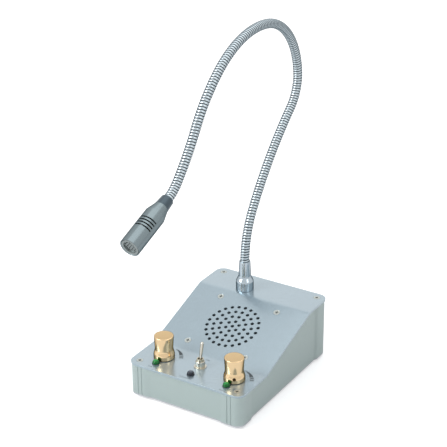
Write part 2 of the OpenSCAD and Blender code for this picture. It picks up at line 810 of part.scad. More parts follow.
// Lever with its ball: leans to the rear at rest
module switch_lever() {
    tip_z = lever_l - lever_tip_r;
    color(steel) at_control(controls_x, switch_at) translate([0, 0, pivot_z]) rotate([-lever_lean, 0, 0]) {
        sphere(r = ball_r);
        cylinder(r1 = lever_foot_r, r2 = lever_tip_r, h = tip_z);
        translate([0, 0, tip_z]) sphere(r = lever_tip_r);
        translate([0, 0, -4.5]) cylinder(r = 0.8, h = 4);
    }
}

// Lamp with a domed head on a round body, and its two legs
module lamp(x, tint) {
    low = -clip_l - 1;
    brim = lamp_rim_h + seat;
    dome = lamp_h - brim - 0.8;
    color(tint) at_control(x, lamp_at) {
        rotate_extrude() polygon(concat([[0, low], [lamp_d / 2, low], [lamp_d / 2, brim], [lamp_head_d / 2, brim]],
            [for (a = [0:15:90]) [lamp_head_d / 2 * cos(a), brim + 0.8 + dome * sin(a)]]));
        for (side = [-1, 1]) translate([side * 1.27, 0, low - leg_l])
            cylinder(d = 0.6, h = leg_l + 0.1, $fn = 24);
    }
}

module left_lamp() { lamp(lamp_x[0], [0.05, 0.55, 0.20]); }
module right_lamp() { lamp(lamp_x[1], [0.05, 0.55, 0.20]); }
module power_lamp() { lamp(lamp_x[2], [0.16, 0.17, 0.20]); }

module lamp_clips() {
    color([0.06, 0.06, 0.06]) for (x = lamp_x) at_control(x, lamp_at) difference() {
        union() {
            translate([0, 0, -clip_l]) cylinder(d = clip_d, h = clip_l);
            cylinder(d = clip_d + 2 * lamp_rim, h = lamp_rim_h);
        }
        translate([0, 0, -clip_l - 1]) cylinder(d = lamp_d + 2 * seat, h = clip_l + 3);
    }
}

// ---------------------------------------------------------------- sockets

// Places children on the rear wall's outer face, Z pointing out of the case
module on_rear(x) {
    translate([x, wall_y, socket_z]) rotate([-90, 0, 0]) children();
}

module socket_shell(body_d) {
    translate([0, 0, -wall_t - socket_depth]) cylinder(d = body_d, h = socket_depth);
    translate([0, 0, -wall_t - eps]) cylinder(d = socket_barrel_d, h = wall_t + socket_nut_h + eps);
}

module power_socket() {
    color([0.08, 0.08, 0.08]) on_rear(socket_gap / 2) difference() {
        socket_shell(power_body_d);
        translate([0, 0, socket_nut_h - power_depth]) difference() {
            cylinder(d = power_bore, h = power_depth + 1);
            translate([0, 0, -1]) cylinder(d = power_pin, h = power_depth + 0.5);
        }
    }
}

module line_socket() {
    color(steel) on_rear(-socket_gap / 2) difference() {
        socket_shell(line_body_d);
        translate([0, 0, socket_nut_h - line_depth]) cylinder(d = line_bore, h = line_depth + 1);
    }
}

module socket_nuts() {
    color(steel) for (x = [-1, 1]) on_rear(x * socket_gap / 2) difference() {
        hex(socket_nut_af, socket_nut_h);
        translate([0, 0, -1]) cylinder(d = socket_barrel_d + 2 * bush_play, h = socket_nut_h + 2);
    }
}

// ---------------------------------------------------------------- neck

module neck_collar() {
    foot_r = collar_d / 2;
    lip_r = neck_r + neck_play + 0.8;
    waist_r = lip_r + 0.6;
    color(steel) translate([-neck_x, neck_y, rear_h]) difference() {
        rotate_extrude($fn = 72) polygon([[0, -stub_l], [stub_d / 2, -stub_l], [stub_d / 2, 0], [foot_r - 0.4, 0],
            [foot_r, 0.4], [foot_r, collar_h * 0.28], [waist_r, collar_h * 0.5], [lip_r, collar_h], [0, collar_h]]);
        translate([0, 0, collar_h - seat_l]) cylinder(r = neck_r + neck_play, h = seat_l + 1);
        translate([0, 0, -stub_l - 1]) cylinder(r = nose_r, h = stub_l + collar_h);
    }
}

module neck_washer() {
    color(steel) translate([-neck_x, neck_y, under_plate - 1]) difference() {
        cylinder(d = neck_nut_af + 2, h = 1);
        translate([0, 0, -1]) cylinder(d = stub_d + 2 * bush_play, h = 3);
    }
}

module neck_nut() {
    color(steel) translate([-neck_x, neck_y, under_plate - 1 - neck_nut_h]) difference() {
        hex(neck_nut_af, neck_nut_h);
        translate([0, 0, -1]) cylinder(d = stub_d + 2 * bush_play, h = neck_nut_h + 2);
    }
}

// A closed tube through the rings given as [s, r], with a bore unless bore is 0
module swept_tube(outer, bore, sides, bore_steps) {
    first = outer[0][0];
    last = outer[len(outer) - 1][0];
    n = len(outer);
    m = bore_steps + 1;
    skin = flat([for (ring = outer) neck_ring(ring[0], ring[1], sides)]);
    skin_faces = flat([for (i = [0:n - 2]) band(i * sides, (i + 1) * sides, sides)]);
    if (bore > 0) {
        inside = flat([for (i = [0:m - 1]) neck_ring(first + (last - first) * i / bore_steps, bore / 2, sides)]);
        base = n * sides;
        polyhedron(concat(skin, inside), concat(skin_faces,
            flat([for (i = [0:m - 2]) band(base + (i + 1) * sides, base + i * sides, sides)]),
            band(base, 0, sides), band((n - 1) * sides, base + (m - 1) * sides, sides)));
    } else
        polyhedron(skin, concat(skin_faces, fan(0, sides, true), fan((n - 1) * sides, sides, false)));
}

// Stretch i of the neck: turns and grooves over a bore, and its length of lead
module neck_stretch(i) {
    first = neck_ends[i] + (i == 0 ? 0 : bend_play / 2);
    last = neck_ends[i + 1] - (i == 8 ? 0 : bend_play / 2);
    turns = round((last - first) / turn_pitch);
    color(steel) {
        swept_tube([for (k = [0:2 * turns])
            [first + (last - first) * k / (2 * turns),
             k % 2 == 1 ? neck_r : k == 0 && i > 0 || k == 2 * turns && i < 8 ? nose_r : neck_r - groove]],
            neck_bore, 8, ceil((last - first) / 12));
        swept_tube([for (k = [0:ceil((last - first) / 12)])
            [first + (last - first) * k / ceil((last - first) / 12), lead_d / 2]], 0, 6, 1);
    }
}

module neck_1() { neck_stretch(0); }
module neck_2() { neck_stretch(1); }
module neck_3() { neck_stretch(2); }
module neck_4() { neck_stretch(3); }
module neck_5() { neck_stretch(4); }
module neck_6() { neck_stretch(5); }
module neck_7() { neck_stretch(6); }
module neck_8() { neck_stretch(7); }
module neck_9() { neck_stretch(8); }

// ---------------------------------------------------------------- microphone

module mic_ferrule() {
    bore_r = neck_r + neck_play;
    color([0.50, 0.53, 0.56]) on_mic() difference() {
        union() {
            cylinder(r1 = bore_r + 1.25, r2 = ferrule_end_r, h = ferrule_l);
            translate([0, 0, ferrule_l - eps]) cylinder(r = spigot_r, h = spigot_l);
        }
        translate([0, 0, -1]) cylinder(r = bore_r, h = mic_seat + 1);
        cylinder(r = nose_r, h = ferrule_l + spigot_l + 1);
    }
}

// Barrel with its cone and its two groups of slots
module mic_barrel() {
    cone_top = ferrule_l + shoulder_l;
    color([0.72, 0.75, 0.76]) on_mic() difference() {
        union() {
            translate([0, 0, ferrule_l]) cylinder(r1 = ferrule_end_r, r2 = mic_d / 2, h = shoulder_l, $fn = 72);
            translate([0, 0, cone_top - eps]) cylinder(d = mic_d, h = mic_l - cone_top, $fn = 72);
        }
        translate([0, 0, ferrule_l - 1]) cylinder(r = spigot_r + seat, h = spigot_l + 1);
        translate([0, 0, ferrule_l]) cylinder(r = nose_r + 1, h = shoulder_l + 2);
        translate([0, 0, cone_top + 1.5]) cylinder(r = mic_bore_r, h = mic_l, $fn = 72);
        translate([0, 0, mic_l - 0.7]) cylinder(r1 = mic_bore_r, r2 = mic_bore_r + 0.7, h = 0.71, $fn = 72);
        for (side = [0, 180], k = [0:slot_count - 1])
            translate([0, 0, cone_top + slot_in + k * slot_pitch]) rotate([0, 0, slot_turn + side])
                rotate_extrude(angle = slot_arc) translate([mic_bore_r - 1, 0]) square([mic_wall + 3, slot_w]);
    }
}

// Cap in the microphone's mouth: a broad rim round a sunken grille
module mic_grille() {
    color([0.70, 0.72, 0.73]) on_mic() translate([0, 0, grille_z]) difference() {
        cylinder(r = mic_bore_r - seat, h = mic_l - 0.3 - grille_z, $fn = 72);
        translate([0, 0, 1]) cylinder(r = mouth_r, h = mouth_depth + 1, $fn = 72);
        for (row = [-2:2], k = [-2:2]) let (x = k * 2.8 + (row % 2 == 0 ? 0 : 1.4), y = row * 1.9)
            if (norm([x, y]) < mouth_r - 1.2) translate([x - 0.9, y - 0.5, -1]) cube([1.8, 1, 3]);
    }
}

module mic_foam() {
    color([0.05, 0.05, 0.05]) on_mic() translate([0, 0, grille_z - foam_h])
        cylinder(r = mic_bore_r - seat, h = foam_h);
}

module mic_capsule() {
    color([0.60, 0.55, 0.40]) on_mic() {
        translate([0, 0, capsule_z]) cylinder(r = mic_bore_r - seat, h = 2);
        translate([0, 0, capsule_z - 6]) cylinder(d = 9.7, h = 6.1);
    }
}

module head_lead() {
    color([0.12, 0.12, 0.12]) on_mic() translate([0, 0, mic_seat]) cylinder(d = lead_d, h = capsule_z - 6 - mic_seat);
}

case_ring();
top_plate();
base_plate();
rubber_feet();
top_screws();
base_screws();
grille_cloth();
speaker_frame();
speaker_cone();
speaker_magnet();
speaker_screws();
speaker_nuts();
speaker_wires();
main_board();
board_posts();
board_screws();
amplifier_chips();
capacitors();
heat_sink();
mic_header();
left_pot();
right_pot();
left_shaft();
right_shaft();
pot_nuts();
left_knob();
right_knob();
left_grub_screw();
right_grub_screw();
switch_body();
switch_washer();
switch_nut();
switch_lever();
left_lamp();
right_lamp();
power_lamp();
lamp_clips();
power_socket();
line_socket();
socket_nuts();
neck_collar();
neck_washer();
neck_nut();
base_lead();
neck_1();
neck_2();
neck_3();
neck_4();
neck_5();
neck_6();
neck_7();
neck_8();
neck_9();
mic_ferrule();
mic_barrel();
mic_capsule();
mic_foam();
mic_grille();
head_lead();
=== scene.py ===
"""Looks of a counter intercom for a teller window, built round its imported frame.

Sizes are in millimetres and are turned into metres when a piece is finished.
"""

import json
import logging
import math
from dataclasses import dataclass, field, replace
from enum import Enum

import bmesh
import bpy
from mathutils import Matrix, Vector
from mathutils.bvhtree import BVHTree


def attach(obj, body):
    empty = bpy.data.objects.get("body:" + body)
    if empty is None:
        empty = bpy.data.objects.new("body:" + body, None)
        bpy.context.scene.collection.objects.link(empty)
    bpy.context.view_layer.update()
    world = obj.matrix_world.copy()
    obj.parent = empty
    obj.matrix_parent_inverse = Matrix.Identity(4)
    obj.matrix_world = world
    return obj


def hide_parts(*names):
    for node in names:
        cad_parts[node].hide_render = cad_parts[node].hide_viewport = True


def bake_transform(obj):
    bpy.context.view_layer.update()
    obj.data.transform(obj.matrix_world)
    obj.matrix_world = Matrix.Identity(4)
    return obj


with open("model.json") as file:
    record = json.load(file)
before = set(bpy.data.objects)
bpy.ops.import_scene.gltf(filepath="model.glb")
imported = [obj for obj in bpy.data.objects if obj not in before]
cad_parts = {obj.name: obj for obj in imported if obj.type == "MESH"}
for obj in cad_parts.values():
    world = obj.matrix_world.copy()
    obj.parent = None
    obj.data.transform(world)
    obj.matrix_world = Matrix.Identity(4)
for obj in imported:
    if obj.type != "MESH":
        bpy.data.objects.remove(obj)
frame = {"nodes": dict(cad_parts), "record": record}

LOG = logging.getLogger("intercom")
MM = 0.001
MERGE = 0.0005  # points nearer than this are one
FLAT = 0.4  # degrees of turn that still count as flat
SHARP = 32.0  # degrees of turn from which an edge is rounded
CREASE = 35.0  # degrees of turn that keep an edge hard
ROUND = 50.0  # the same on small round pieces
CLOUD_ROUGHNESS = 0.55
LINE_ROUGHNESS = 0.6
DETAIL = 3.0
SLOTS = {part["node"]: part["material_slot"] for part in frame["record"]["subparts"]}
BODIES = {node: body for body, nodes in frame["record"]["behaviour"]["bodies"].items() for node in nodes}
CASE = "case"

Pair = tuple[float, float]
Triple = tuple[float, float, float]
Colour = tuple[float, float, float, float]


# ---- shader maths


def linear(colour: Triple) -> Colour:
    """Turns a colour as a screen shows it into the shader's own numbers.

    Args:
        colour: Red, green and blue, 0 to 255.

    Returns:
        The linear colour with an alpha of 1.
    """
    parts = [c / 255 for c in colour]
    red, green, blue = (c / 12.92 if c <= 0.04045 else ((c + 0.055) / 1.055) ** 2.4 for c in parts)
    return (red, green, blue, 1.0)


class Value:
    """A shader socket that takes Python arithmetic."""

    def __init__(self, graph: "Graph", socket: bpy.types.NodeSocket) -> None:
        """Keeps the graph and the socket."""
        self.graph = graph
        self.socket = socket

    def _math(self, operation: str, first: "Value | float", second: "Value | float" = 0.0) -> "Value":
        """Adds one Math node and returns what it gives."""
        node = self.graph.add("ShaderNodeMath", {"operation": operation}, {0: first, 1: second})
        return Value(self.graph, node.outputs[0])

    def __add__(self, other: "Value | float") -> "Value":
        """Sum."""
        return self._math("ADD", self, other)

    __radd__ = __add__

    def __sub__(self, other: "Value | float") -> "Value":
        """Difference."""
        return self._math("SUBTRACT", self, other)

    def __rsub__(self, other: float) -> "Value":
        """Difference with a number in front."""
        return self._math("SUBTRACT", other, self)

    def __mul__(self, other: "Value | float") -> "Value":
        """Product."""
        return self._math("MULTIPLY", self, other)

    __rmul__ = __mul__

    def sine(self) -> "Value":
        """Sine of the value in radians."""
        return self._math("SINE", self)

    def step(self, low: float, high: float) -> "Value":
        """Rises smoothly from 0 at low to 1 at high, either way round.

        Args:
            low: The value that gives 0.
            high: The value that gives 1.

        Returns:
            The eased value between 0 and 1.
        """
        node = self.graph.add("ShaderNodeMapRange", {"interpolation_type": "SMOOTHSTEP", "clamp": True},
                              {"Value": self, "From Min": low, "From Max": high})
        return Value(self.graph, node.outputs[0])


class Graph:
    """The node tree of a material or of the world, with its shader and output."""

    def __init__(self, owner: bpy.types.ID, shader: str = "ShaderNodeBsdfPrincipled",
                 output: str = "ShaderNodeOutputMaterial") -> None:
        """Empties the owner's tree and joins a shader to an output.

        Args:
            owner: The material or world.
            shader: The shader node's type.
            output: The output node's type.
        """
        owner.use_nodes = True
        self.tree = owner.node_tree
        self.tree.nodes.clear()
        self.shader = self.add(shader)
        self.tree.links.new(self.shader.outputs[0], self.add(output).inputs[0])

    def add(self, kind: str, settings: dict | None = None, sockets: dict | None = None) -> bpy.types.Node:
        """Adds a node of any kind.

        Args:
            kind: The node's type name.
            settings: Its properties, set first.
            sockets: Values or links for its inputs, by name or number.

        Returns:
            The new node.
        """
        node = self.tree.nodes.new(kind)
        for key, value in (settings or {}).items():
            setattr(node, key, value)
        for key, value in (sockets or {}).items():
            self.feed(node.inputs[key], value)
        return node

    def feed(self, socket: bpy.types.NodeSocket, value: object) -> None:
        """Links a Value to a socket, or sets the socket to a plain value."""
        if isinstance(value, Value):
            self.tree.links.new(value.socket, socket)
        else:
            socket.default_value = value

    def set(self, **sockets: object) -> None:
        """Sets the shader's sockets; an underscore in a name stands for a space."""
        for key, value in sockets.items():
            self.feed(self.shader.inputs[key.replace("_", " ")], value)

    def place(self, centre: Triple = (0, 0, 0), scale: Triple = (1, 1, 1)) -> Value:
        """Object coordinates in millimetres, measured from a centre and stretched.

        Args:
            centre: The point that becomes zero, in millimetres.
            scale: How much each axis is stretched.

        Returns:
            The coordinates as a vector.
        """
        source = self.add("ShaderNodeTexCoord").outputs["Object"]
        node = self.add("ShaderNodeMapping", None, {
            "Vector": Value(self, source), "Scale": tuple(s / MM for s in scale),
            "Location": tuple(-c * s for c, s in zip(centre, scale))})
        return Value(self, node.outputs[0])

    def noise(self, where: Value, scale: float, detail: float = DETAIL) -> Value:
        """Cloudy noise between 0 and 1.

        Args:
            where: Coordinates in millimetres.
            scale: Clouds per millimetre.
            detail: Octaves.

        Returns:
            The noise.
        """
        node = self.add("ShaderNodeTexNoise", None,
                        {"Vector": where, "Scale": scale, "Detail": detail, "Roughness": CLOUD_ROUGHNESS})
        return Value(self, node.outputs[0])

    def lines(self, where: Value, scale: float) -> Value:
        """Noise along a single number, which gives lines or rings."""
        node = self.add("ShaderNodeTexNoise", {"noise_dimensions": "1D"},
                        {"W": where, "Scale": scale, "Detail": DETAIL, "Roughness": LINE_ROUGHNESS})
        return Value(self, node.outputs[0])

    def cells(self, where: Value, scale: float) -> Value:
        """Distance to the nearest cell's middle."""
        node = self.add("ShaderNodeTexVoronoi", None, {"Vector": where, "Scale": scale})
        return Value(self, node.outputs["Distance"])

    def axis(self, where: Value, direction: Triple) -> Value:
        """How far a point lies along a direction."""
        node = self.add("ShaderNodeVectorMath", {"operation": "DOT_PRODUCT"}, {0: where, 1: direction})
        return Value(self, node.outputs["Value"])

    def radius(self, where: Value, direction: Triple) -> Value:
        """How far a point lies from the line through zero along a direction."""
        node = self.add("ShaderNodeVectorMath", {"operation": "CROSS_PRODUCT"}, {0: where, 1: direction})
        length = self.add("ShaderNodeVectorMath", {"operation": "LENGTH"}, {0: Value(self, node.outputs[0])})
        return Value(self, length.outputs["Value"])

    def facing(self, direction: Triple) -> Value:
        """1 where the surface looks along a direction, -1 where it looks away."""
        normal = self.add("ShaderNodeNewGeometry").outputs["Normal"]
        return self.axis(Value(self, normal), direction)

    def seen(self, mirrored: float) -> Value:
        """1 for what the camera sees straight on, a share of it in a mirror or glass, and 0 for soft light."""
        path = self.add("ShaderNodeLightPath")
        camera, glossy, through = (Value(self, path.outputs[f"Is {kind} Ray"])
                                   for kind in ("Camera", "Glossy", "Transmission"))
        return camera + (glossy + through) * mirrored

    def mix(self, share: Value, low: tuple | Value, high: tuple | Value) -> Value:
        """Mixes two colours."""
        node = self.add("ShaderNodeMix", {"data_type": "RGBA"}, {"Factor": share, 6: low, 7: high})
        return Value(self, node.outputs[2])

    def bump(self, height: Value, depth: float, strength: float = 1.0) -> None:
        """Feeds a height into the shader's normal.

        Args:
            height: The relief, about 0 to 1.
            depth: Its depth in millimetres.
            strength: How strongly it shows.
        """
        node = self.add("ShaderNodeBump", None, {"Strength": strength, "Distance": depth * MM, "Height": height})
        self.set(Normal=Value(self, node.outputs[0]))


# ---- finishes


@dataclass(frozen=True)
class Finish:
    """A surface: its colour on a screen and how it takes the light."""

    name: str
    colour: Triple
    roughness: float = 0.4
    metallic: float = 0.0
    coat: float = 0.0
    coat_roughness: float = 0.1
    tone: float = 0.06
    edge: float = 1.0

    def tint(self, factor: float) -> Colour:
        """The colour made lighter or darker by a factor."""
        red, green, blue, _ = linear(self.colour)
        return (min(red * factor, 1.0), min(green * factor, 1.0), min(blue * factor, 1.0), 1.0)

    def shades(self, graph: Graph, share: Value) -> Value:
        """The colour, a little darker where the share is 0 and a little lighter where it is 1."""
        return graph.mix(share, self.tint(1 - self.tone), self.tint(1 + self.tone))

    def material(self) -> bpy.types.Material:
        """The finish as a material, made once and then shared."""
        found = bpy.data.materials.get(self.name)
        if found:
            return found
        made = bpy.data.materials.new(self.name)
        graph = Graph(made)
        graph.set(Metallic=self.metallic, Coat_Weight=self.coat, Coat_Roughness=self.coat_roughness)
        if self.metallic > 0.5:
            graph.set(Specular_Tint=(self.edge, self.edge, self.edge, 1.0))
        self.dress(graph)
        return made

    def dress(self, graph: Graph) -> None:
        """Adds soft patches of tone and roughness."""
        patches = graph.noise(graph.place(), 0.05)
        graph.set(Base_Color=self.shades(graph, patches),
                  Roughness=self.roughness + 0.1 * (patches - 0.5))


@dataclass(frozen=True)
class Brushed(Finish):
    """Metal with a straight grain."""

    metallic: float = 1.0
    grain: Triple = (0.3, 12.0, 12.0)
    streak: float = 0.12
    depth: float = 0.004

    def dress(self, graph: Graph) -> None:
        """Stretches noise into hairlines, with soft patches over them."""
        hair = graph.noise(graph.place(scale=self.grain), 1.0, 4.0)
        patches = graph.noise(graph.place(), 0.04)
        share = hair * 0.6 + patches * 0.4
        graph.set(Base_Color=self.shades(graph, share),
                  Roughness=self.roughness + self.streak * (hair - 0.5) + 0.06 * (patches - 0.5))
        graph.bump(hair, self.depth, 0.5)


@dataclass(frozen=True)
class Lacquered(Finish):
    """Silver lacquer with fine flakes under a clear coat."""

    metallic: float = 0.55
    coat: float = 1.0
    flake: float = 9.0

    def dress(self, graph: Graph) -> None:
        """Scatters flakes and lets the clear coat wave a little."""
        where = graph.place()
        flakes = graph.cells(where, self.flake)
        patches = graph.noise(where, 0.03)
        share = flakes * 0.5 + patches * 0.5
        graph.set(Base_Color=self.shades(graph, share),
                  Roughness=self.roughness + 0.1 * (flakes - 0.5) + 0.06 * (patches - 0.5))
        graph.bump(flakes, 0.002, 0.2)


@dataclass(frozen=True)
class Turned(Finish):
    """Metal turned on a lathe, with fine rings about its axis."""

    metallic: float = 1.0
    centre: Triple = (0, 0, 0)
    direction: Triple = (0, 0, 1)
    rings: float = 9.0
    top: float = 0.0
    shade: float = 1.0
    depth: float = 0.003

    def dress(self, graph: Graph) -> None:
        """Draws the tool's rings along the axis and across the duller end face."""
        where = graph.place(self.centre)
        rings = graph.lines(graph.axis(where, self.direction) + graph.radius(where, self.direction), self.rings)
        patches = graph.noise(where, 0.12)
        share = rings * 0.5 + patches * 0.5
        end = graph.facing(self.direction).step(0.85, 0.98)
        metal = self.shades(graph, share)
        graph.set(Base_Color=graph.mix(end, metal, self.tint(self.shade)) if self.top else metal,
                  Roughness=self.roughness + 0.08 * (rings - 0.5) + 0.05 * (patches - 0.5) + self.top * end)
        graph.bump(rings, self.depth, 0.5)


@dataclass(frozen=True)
class Moulded(Finish):
    """Plastic or rubber with a fine spark-eroded grain."""

    grain: float = 3.0
    depth: float = 0.02

    def dress(self, graph: Graph) -> None:
        """Adds the mould's grain and a little dust in the tone."""
        where = graph.place()
        grain = graph.noise(where, self.grain)
        patches = graph.noise(where, 0.08)
        graph.set(Base_Color=self.shades(graph, patches),
                  Roughness=self.roughness + 0.12 * (grain - 0.5) + 0.08 * (patches - 0.5))
        graph.bump(grain, self.depth, 0.6)


@dataclass(frozen=True)
class Wound(Finish):
    """Chromed windings with painted shade darkening the grooves between the turns."""

    metallic: float = 1.0
    # painted shade: the colour at the bottom of each groove
    groove_shade: Triple = (46, 54, 60)

    def dress(self, graph: Graph) -> None:
        """Paints shade into the metal towards the bottom of each groove and dulls it there."""
        groove = Value(graph, graph.add("ShaderNodeAttribute", {"attribute_name": "groove"}).outputs["Fac"])
        depth = groove.step(0.05, 0.6)
        where = graph.place()
        hair = graph.noise(where, 2.0, 4.0)
        patches = graph.noise(where, 0.06)
        share = hair * 0.5 + patches * 0.5
        metal = self.shades(graph, share)
        # painted shade: the metal turns to the dark groove colour towards the bottom of each groove
        graph.set(Base_Color=graph.mix(depth, metal, linear(self.groove_shade)),
                  Roughness=self.roughness + 0.08 * (hair - 0.5) + 0.3 * depth)
        graph.bump(hair, 0.003, 0.4)


@dataclass(frozen=True)
class Woven(Finish):
    """Cloth with a plain weave."""

    threads: float = 9.0

    def dress(self, graph: Graph) -> None:
        """Crosses two sets of threads and lets the fibres vary."""
        where = graph.place()
        warp = (graph.axis(where, (1, 0, 0)) * self.threads).sine()
        weft = (graph.axis(where, (0, 1, 0.3)) * self.threads).sine()
        weave = warp * weft * 0.5 + 0.5
        fibres = graph.noise(where, 2.0)
        graph.set(Base_Color=graph.mix(weave, self.tint(0.5), self.tint(1.3)),
                  Roughness=self.roughness + 0.1 * (fibres - 0.5))
        graph.bump(weave * 0.8 + fibres * 0.2, 0.06, 0.8)


@dataclass(frozen=True)
class Cellular(Finish):
    """Open foam."""

    pores: float = 1.6

    def dress(self, graph: Graph) -> None:
        """Sinks the pores and paints shade into them, lighter on the raised cells."""
        pores = graph.cells(graph.place(), self.pores)
        # painted shade: dark down in the sunk pores and lighter on the raised cells
        graph.set(Base_Color=graph.mix(pores, self.tint(1.6), self.tint(0.3)), Roughness=self.roughness - 0.1 * pores)
        graph.bump(1 - pores, 0.3, 0.9)


@dataclass(frozen=True)
class Lens(Finish):
    """Diffused lamp: a lighter core inside a darker rim."""

    centre: Triple = (0, 0, 0)
    core: Triple = (255, 255, 255)
    radius: float = 3.2

    def dress(self, graph: Graph) -> None:
        """Lets the cup and the core show through the middle of the dome."""
        where = graph.place(self.centre)
        rim = graph.radius(where, (0, 0, 1)).step(0.25 * self.radius, 0.95 * self.radius)
        cloud = graph.noise(where, 0.9)
        share = rim * 0.85 + cloud * 0.15
        graph.set(Base_Color=graph.mix(share, linear(self.core), self.tint(1.0)),
                  Roughness=self.roughness + 0.05 * (cloud - 0.5), Subsurface_Weight=0.15, Specular_IOR_Level=0.25)


@dataclass(frozen=True)
class Printed(Finish):
    """Circuit board: solder mask over copper tracks."""

    def dress(self, graph: Graph) -> None:
        """Shows tracks as lighter cells under the mask."""
        where = graph.place()
        tracks = graph.cells(where, 0.25).step(0.45, 0.5)
        patches = graph.noise(where, 0.2)
        graph.set(Base_Color=graph.mix(tracks, self.tint(0.8), self.tint(1.5)),
                  Roughness=self.roughness + 0.1 * (patches - 0.5))
        graph.bump(tracks, 0.03, 0.5)


@dataclass(frozen=True)
class Backdrop(Finish):
    """Plain paint that the camera and shiny surfaces see a little brighter than it is."""

    lift: float = 0.45
    mirrored: float = 0.2

    def dress(self, graph: Graph) -> None:
        """Lifts the paint where it is seen, so that only shadows show on it."""
        lifted = graph.mix(graph.seen(self.mirrored), (0.0, 0.0, 0.0, 1.0), (self.lift, self.lift, self.lift, 1.0))
        graph.set(Base_Color=self.tint(1.0), Roughness=self.roughness, Emission_Color=lifted, Emission_Strength=1.0)


FRONT = 32.6
KNOB_X = (-35.7, 38.7)
KNOB_Y = -56.0
LAMP_Y = -69.5
SWITCH = (1.5, -53.5, FRONT)
LAMPS = {"left_lamp": (KNOB_X[0], LAMP_Y, FRONT), "right_lamp": (KNOB_X[1], LAMP_Y, FRONT),
         "power_lamp": (SWITCH[0], LAMP_Y, FRONT)}
COLLAR = (-16.0, 53.0, 59.0)

ZINC = Brushed("zinc plated steel", (196, 199, 203), 0.32, tone=0.08)
PLATED = Brushed("plated steel", (200, 202, 205), 0.25, grain=(6, 6, 0.6), tone=0.08)
# painted shade: the dark colour of the faces inside the screws' cross recesses
RECESS_SHADE = Moulded("screw recess shade", (58, 62, 60), 0.7, tone=0.2)
INK = Moulded("grey print", (72, 83, 88), 0.55, tone=0.15, grain=4.0, depth=0.004)
FLOOR_PAINT = Backdrop("floor paint", (246, 247, 247), 0.8)

FINISHES: dict[str, Finish] = {
    "case_aluminium": Lacquered("case lacquer", (168, 183, 181), 0.45, metallic=0.35, coat=0.3, coat_roughness=0.35,
                                tone=0.02),
    "plate_aluminium": Lacquered("plate lacquer", (158, 176, 185), 0.25, metallic=0.6, coat_roughness=0.15,
                                 tone=0.02),
    "zinc_steel": ZINC,
    "foot_rubber": Moulded("foot rubber", (34, 34, 35), 0.75, tone=0.2),
    "screw_steel": Turned("screw plating", (184, 190, 186), 0.42, metallic=0.8, tone=0.1, rings=4.0, edge=0.9),
    "cloth": Woven("dust cloth", (9, 10, 11), 0.95),
    "cone_paper": Moulded("cone paper", (34, 34, 37), 0.85, tone=0.15, grain=1.5, depth=0.08),
    "magnet_iron": Moulded("magnet ferrite", (62, 62, 66), 0.6, grain=2.0, depth=0.05),
    "red_wire": Moulded("wire sleeve", (190, 34, 30), 0.45),
    "circuit_board": Printed("solder mask", (22, 104, 56), 0.35),
    "chip_plastic": Moulded("chip mould", (26, 26, 28), 0.55),
    "capacitor_sleeve": Moulded("capacitor sleeve", (36, 44, 86), 0.3),
    "heat_sink_aluminium": Brushed("black fins", (44, 44, 47), 0.5, grain=(12, 12, 0.4)),
    "connector_plastic": Moulded("connector mould", (232, 226, 208), 0.5),
    "pot_metal": Brushed("stamped steel", (170, 172, 174), 0.38),
    "nut_steel": PLATED,
    "knob_gold": Turned("knob gold", (230, 202, 160), 0.12, tone=0.04, top=0.25, shade=0.9, edge=0.0, depth=0.012),
    "grub_steel": Turned("grub steel", (86, 74, 60), 0.4, tone=0.15),
    "switch_plastic": Turned("switch bush", (196, 190, 172), 0.2, tone=0.08, edge=0.5, centre=SWITCH, rings=3.0,
                             depth=0.02),
    "switch_chrome": Turned("switch chrome", (204, 202, 192), 0.14, edge=0.4, centre=SWITCH, tone=0.04),
    "green_lamp": Lens("green lens", (8, 96, 40), 0.2, core=(60, 168, 88)),
    "dark_lamp": Lens("dark lens", (34, 38, 46), 0.2, core=(104, 112, 124)),
    "clip_plastic": Moulded("clip mould", (62, 70, 74), 0.45),
    "socket_plastic": Moulded("socket mould", (24, 24, 25), 0.45),
    "socket_metal": PLATED,
    "collar_chrome": Turned("collar chrome", (184, 196, 204), 0.12, edge=0.0, centre=COLLAR, tone=0.03, rings=12.0),
    "neck_steel": Wound("neck chrome", (196, 208, 214), 0.16, edge=0.0, tone=0.08),
    "lead_rubber": Moulded("lead sheath", (22, 22, 22), 0.6),
    "ferrule_grey": Turned("ferrule grey", (78, 92, 100), 0.32, metallic=0.7, tone=0.05),
    "mic_steel": Turned("microphone steel", (134, 147, 151), 0.24, metallic=0.9, tone=0.03, edge=0.3),
    "mic_grille_steel": Brushed("mouth cap", (150, 158, 158), 0.4, metallic=0.85, edge=0.3),
    "foam": Cellular("mouth foam", (16, 16, 17), 0.95),
    "capsule_brass": Turned("capsule brass", (190, 168, 112), 0.3),
}


# ---- forms


def placed(name: str, data: bpy.types.ID) -> bpy.types.Object:
    """Makes an object that holds some data and puts it in the scene."""
    made = bpy.data.objects.new(name, data)
    bpy.context.scene.collection.objects.link(made)
    return made


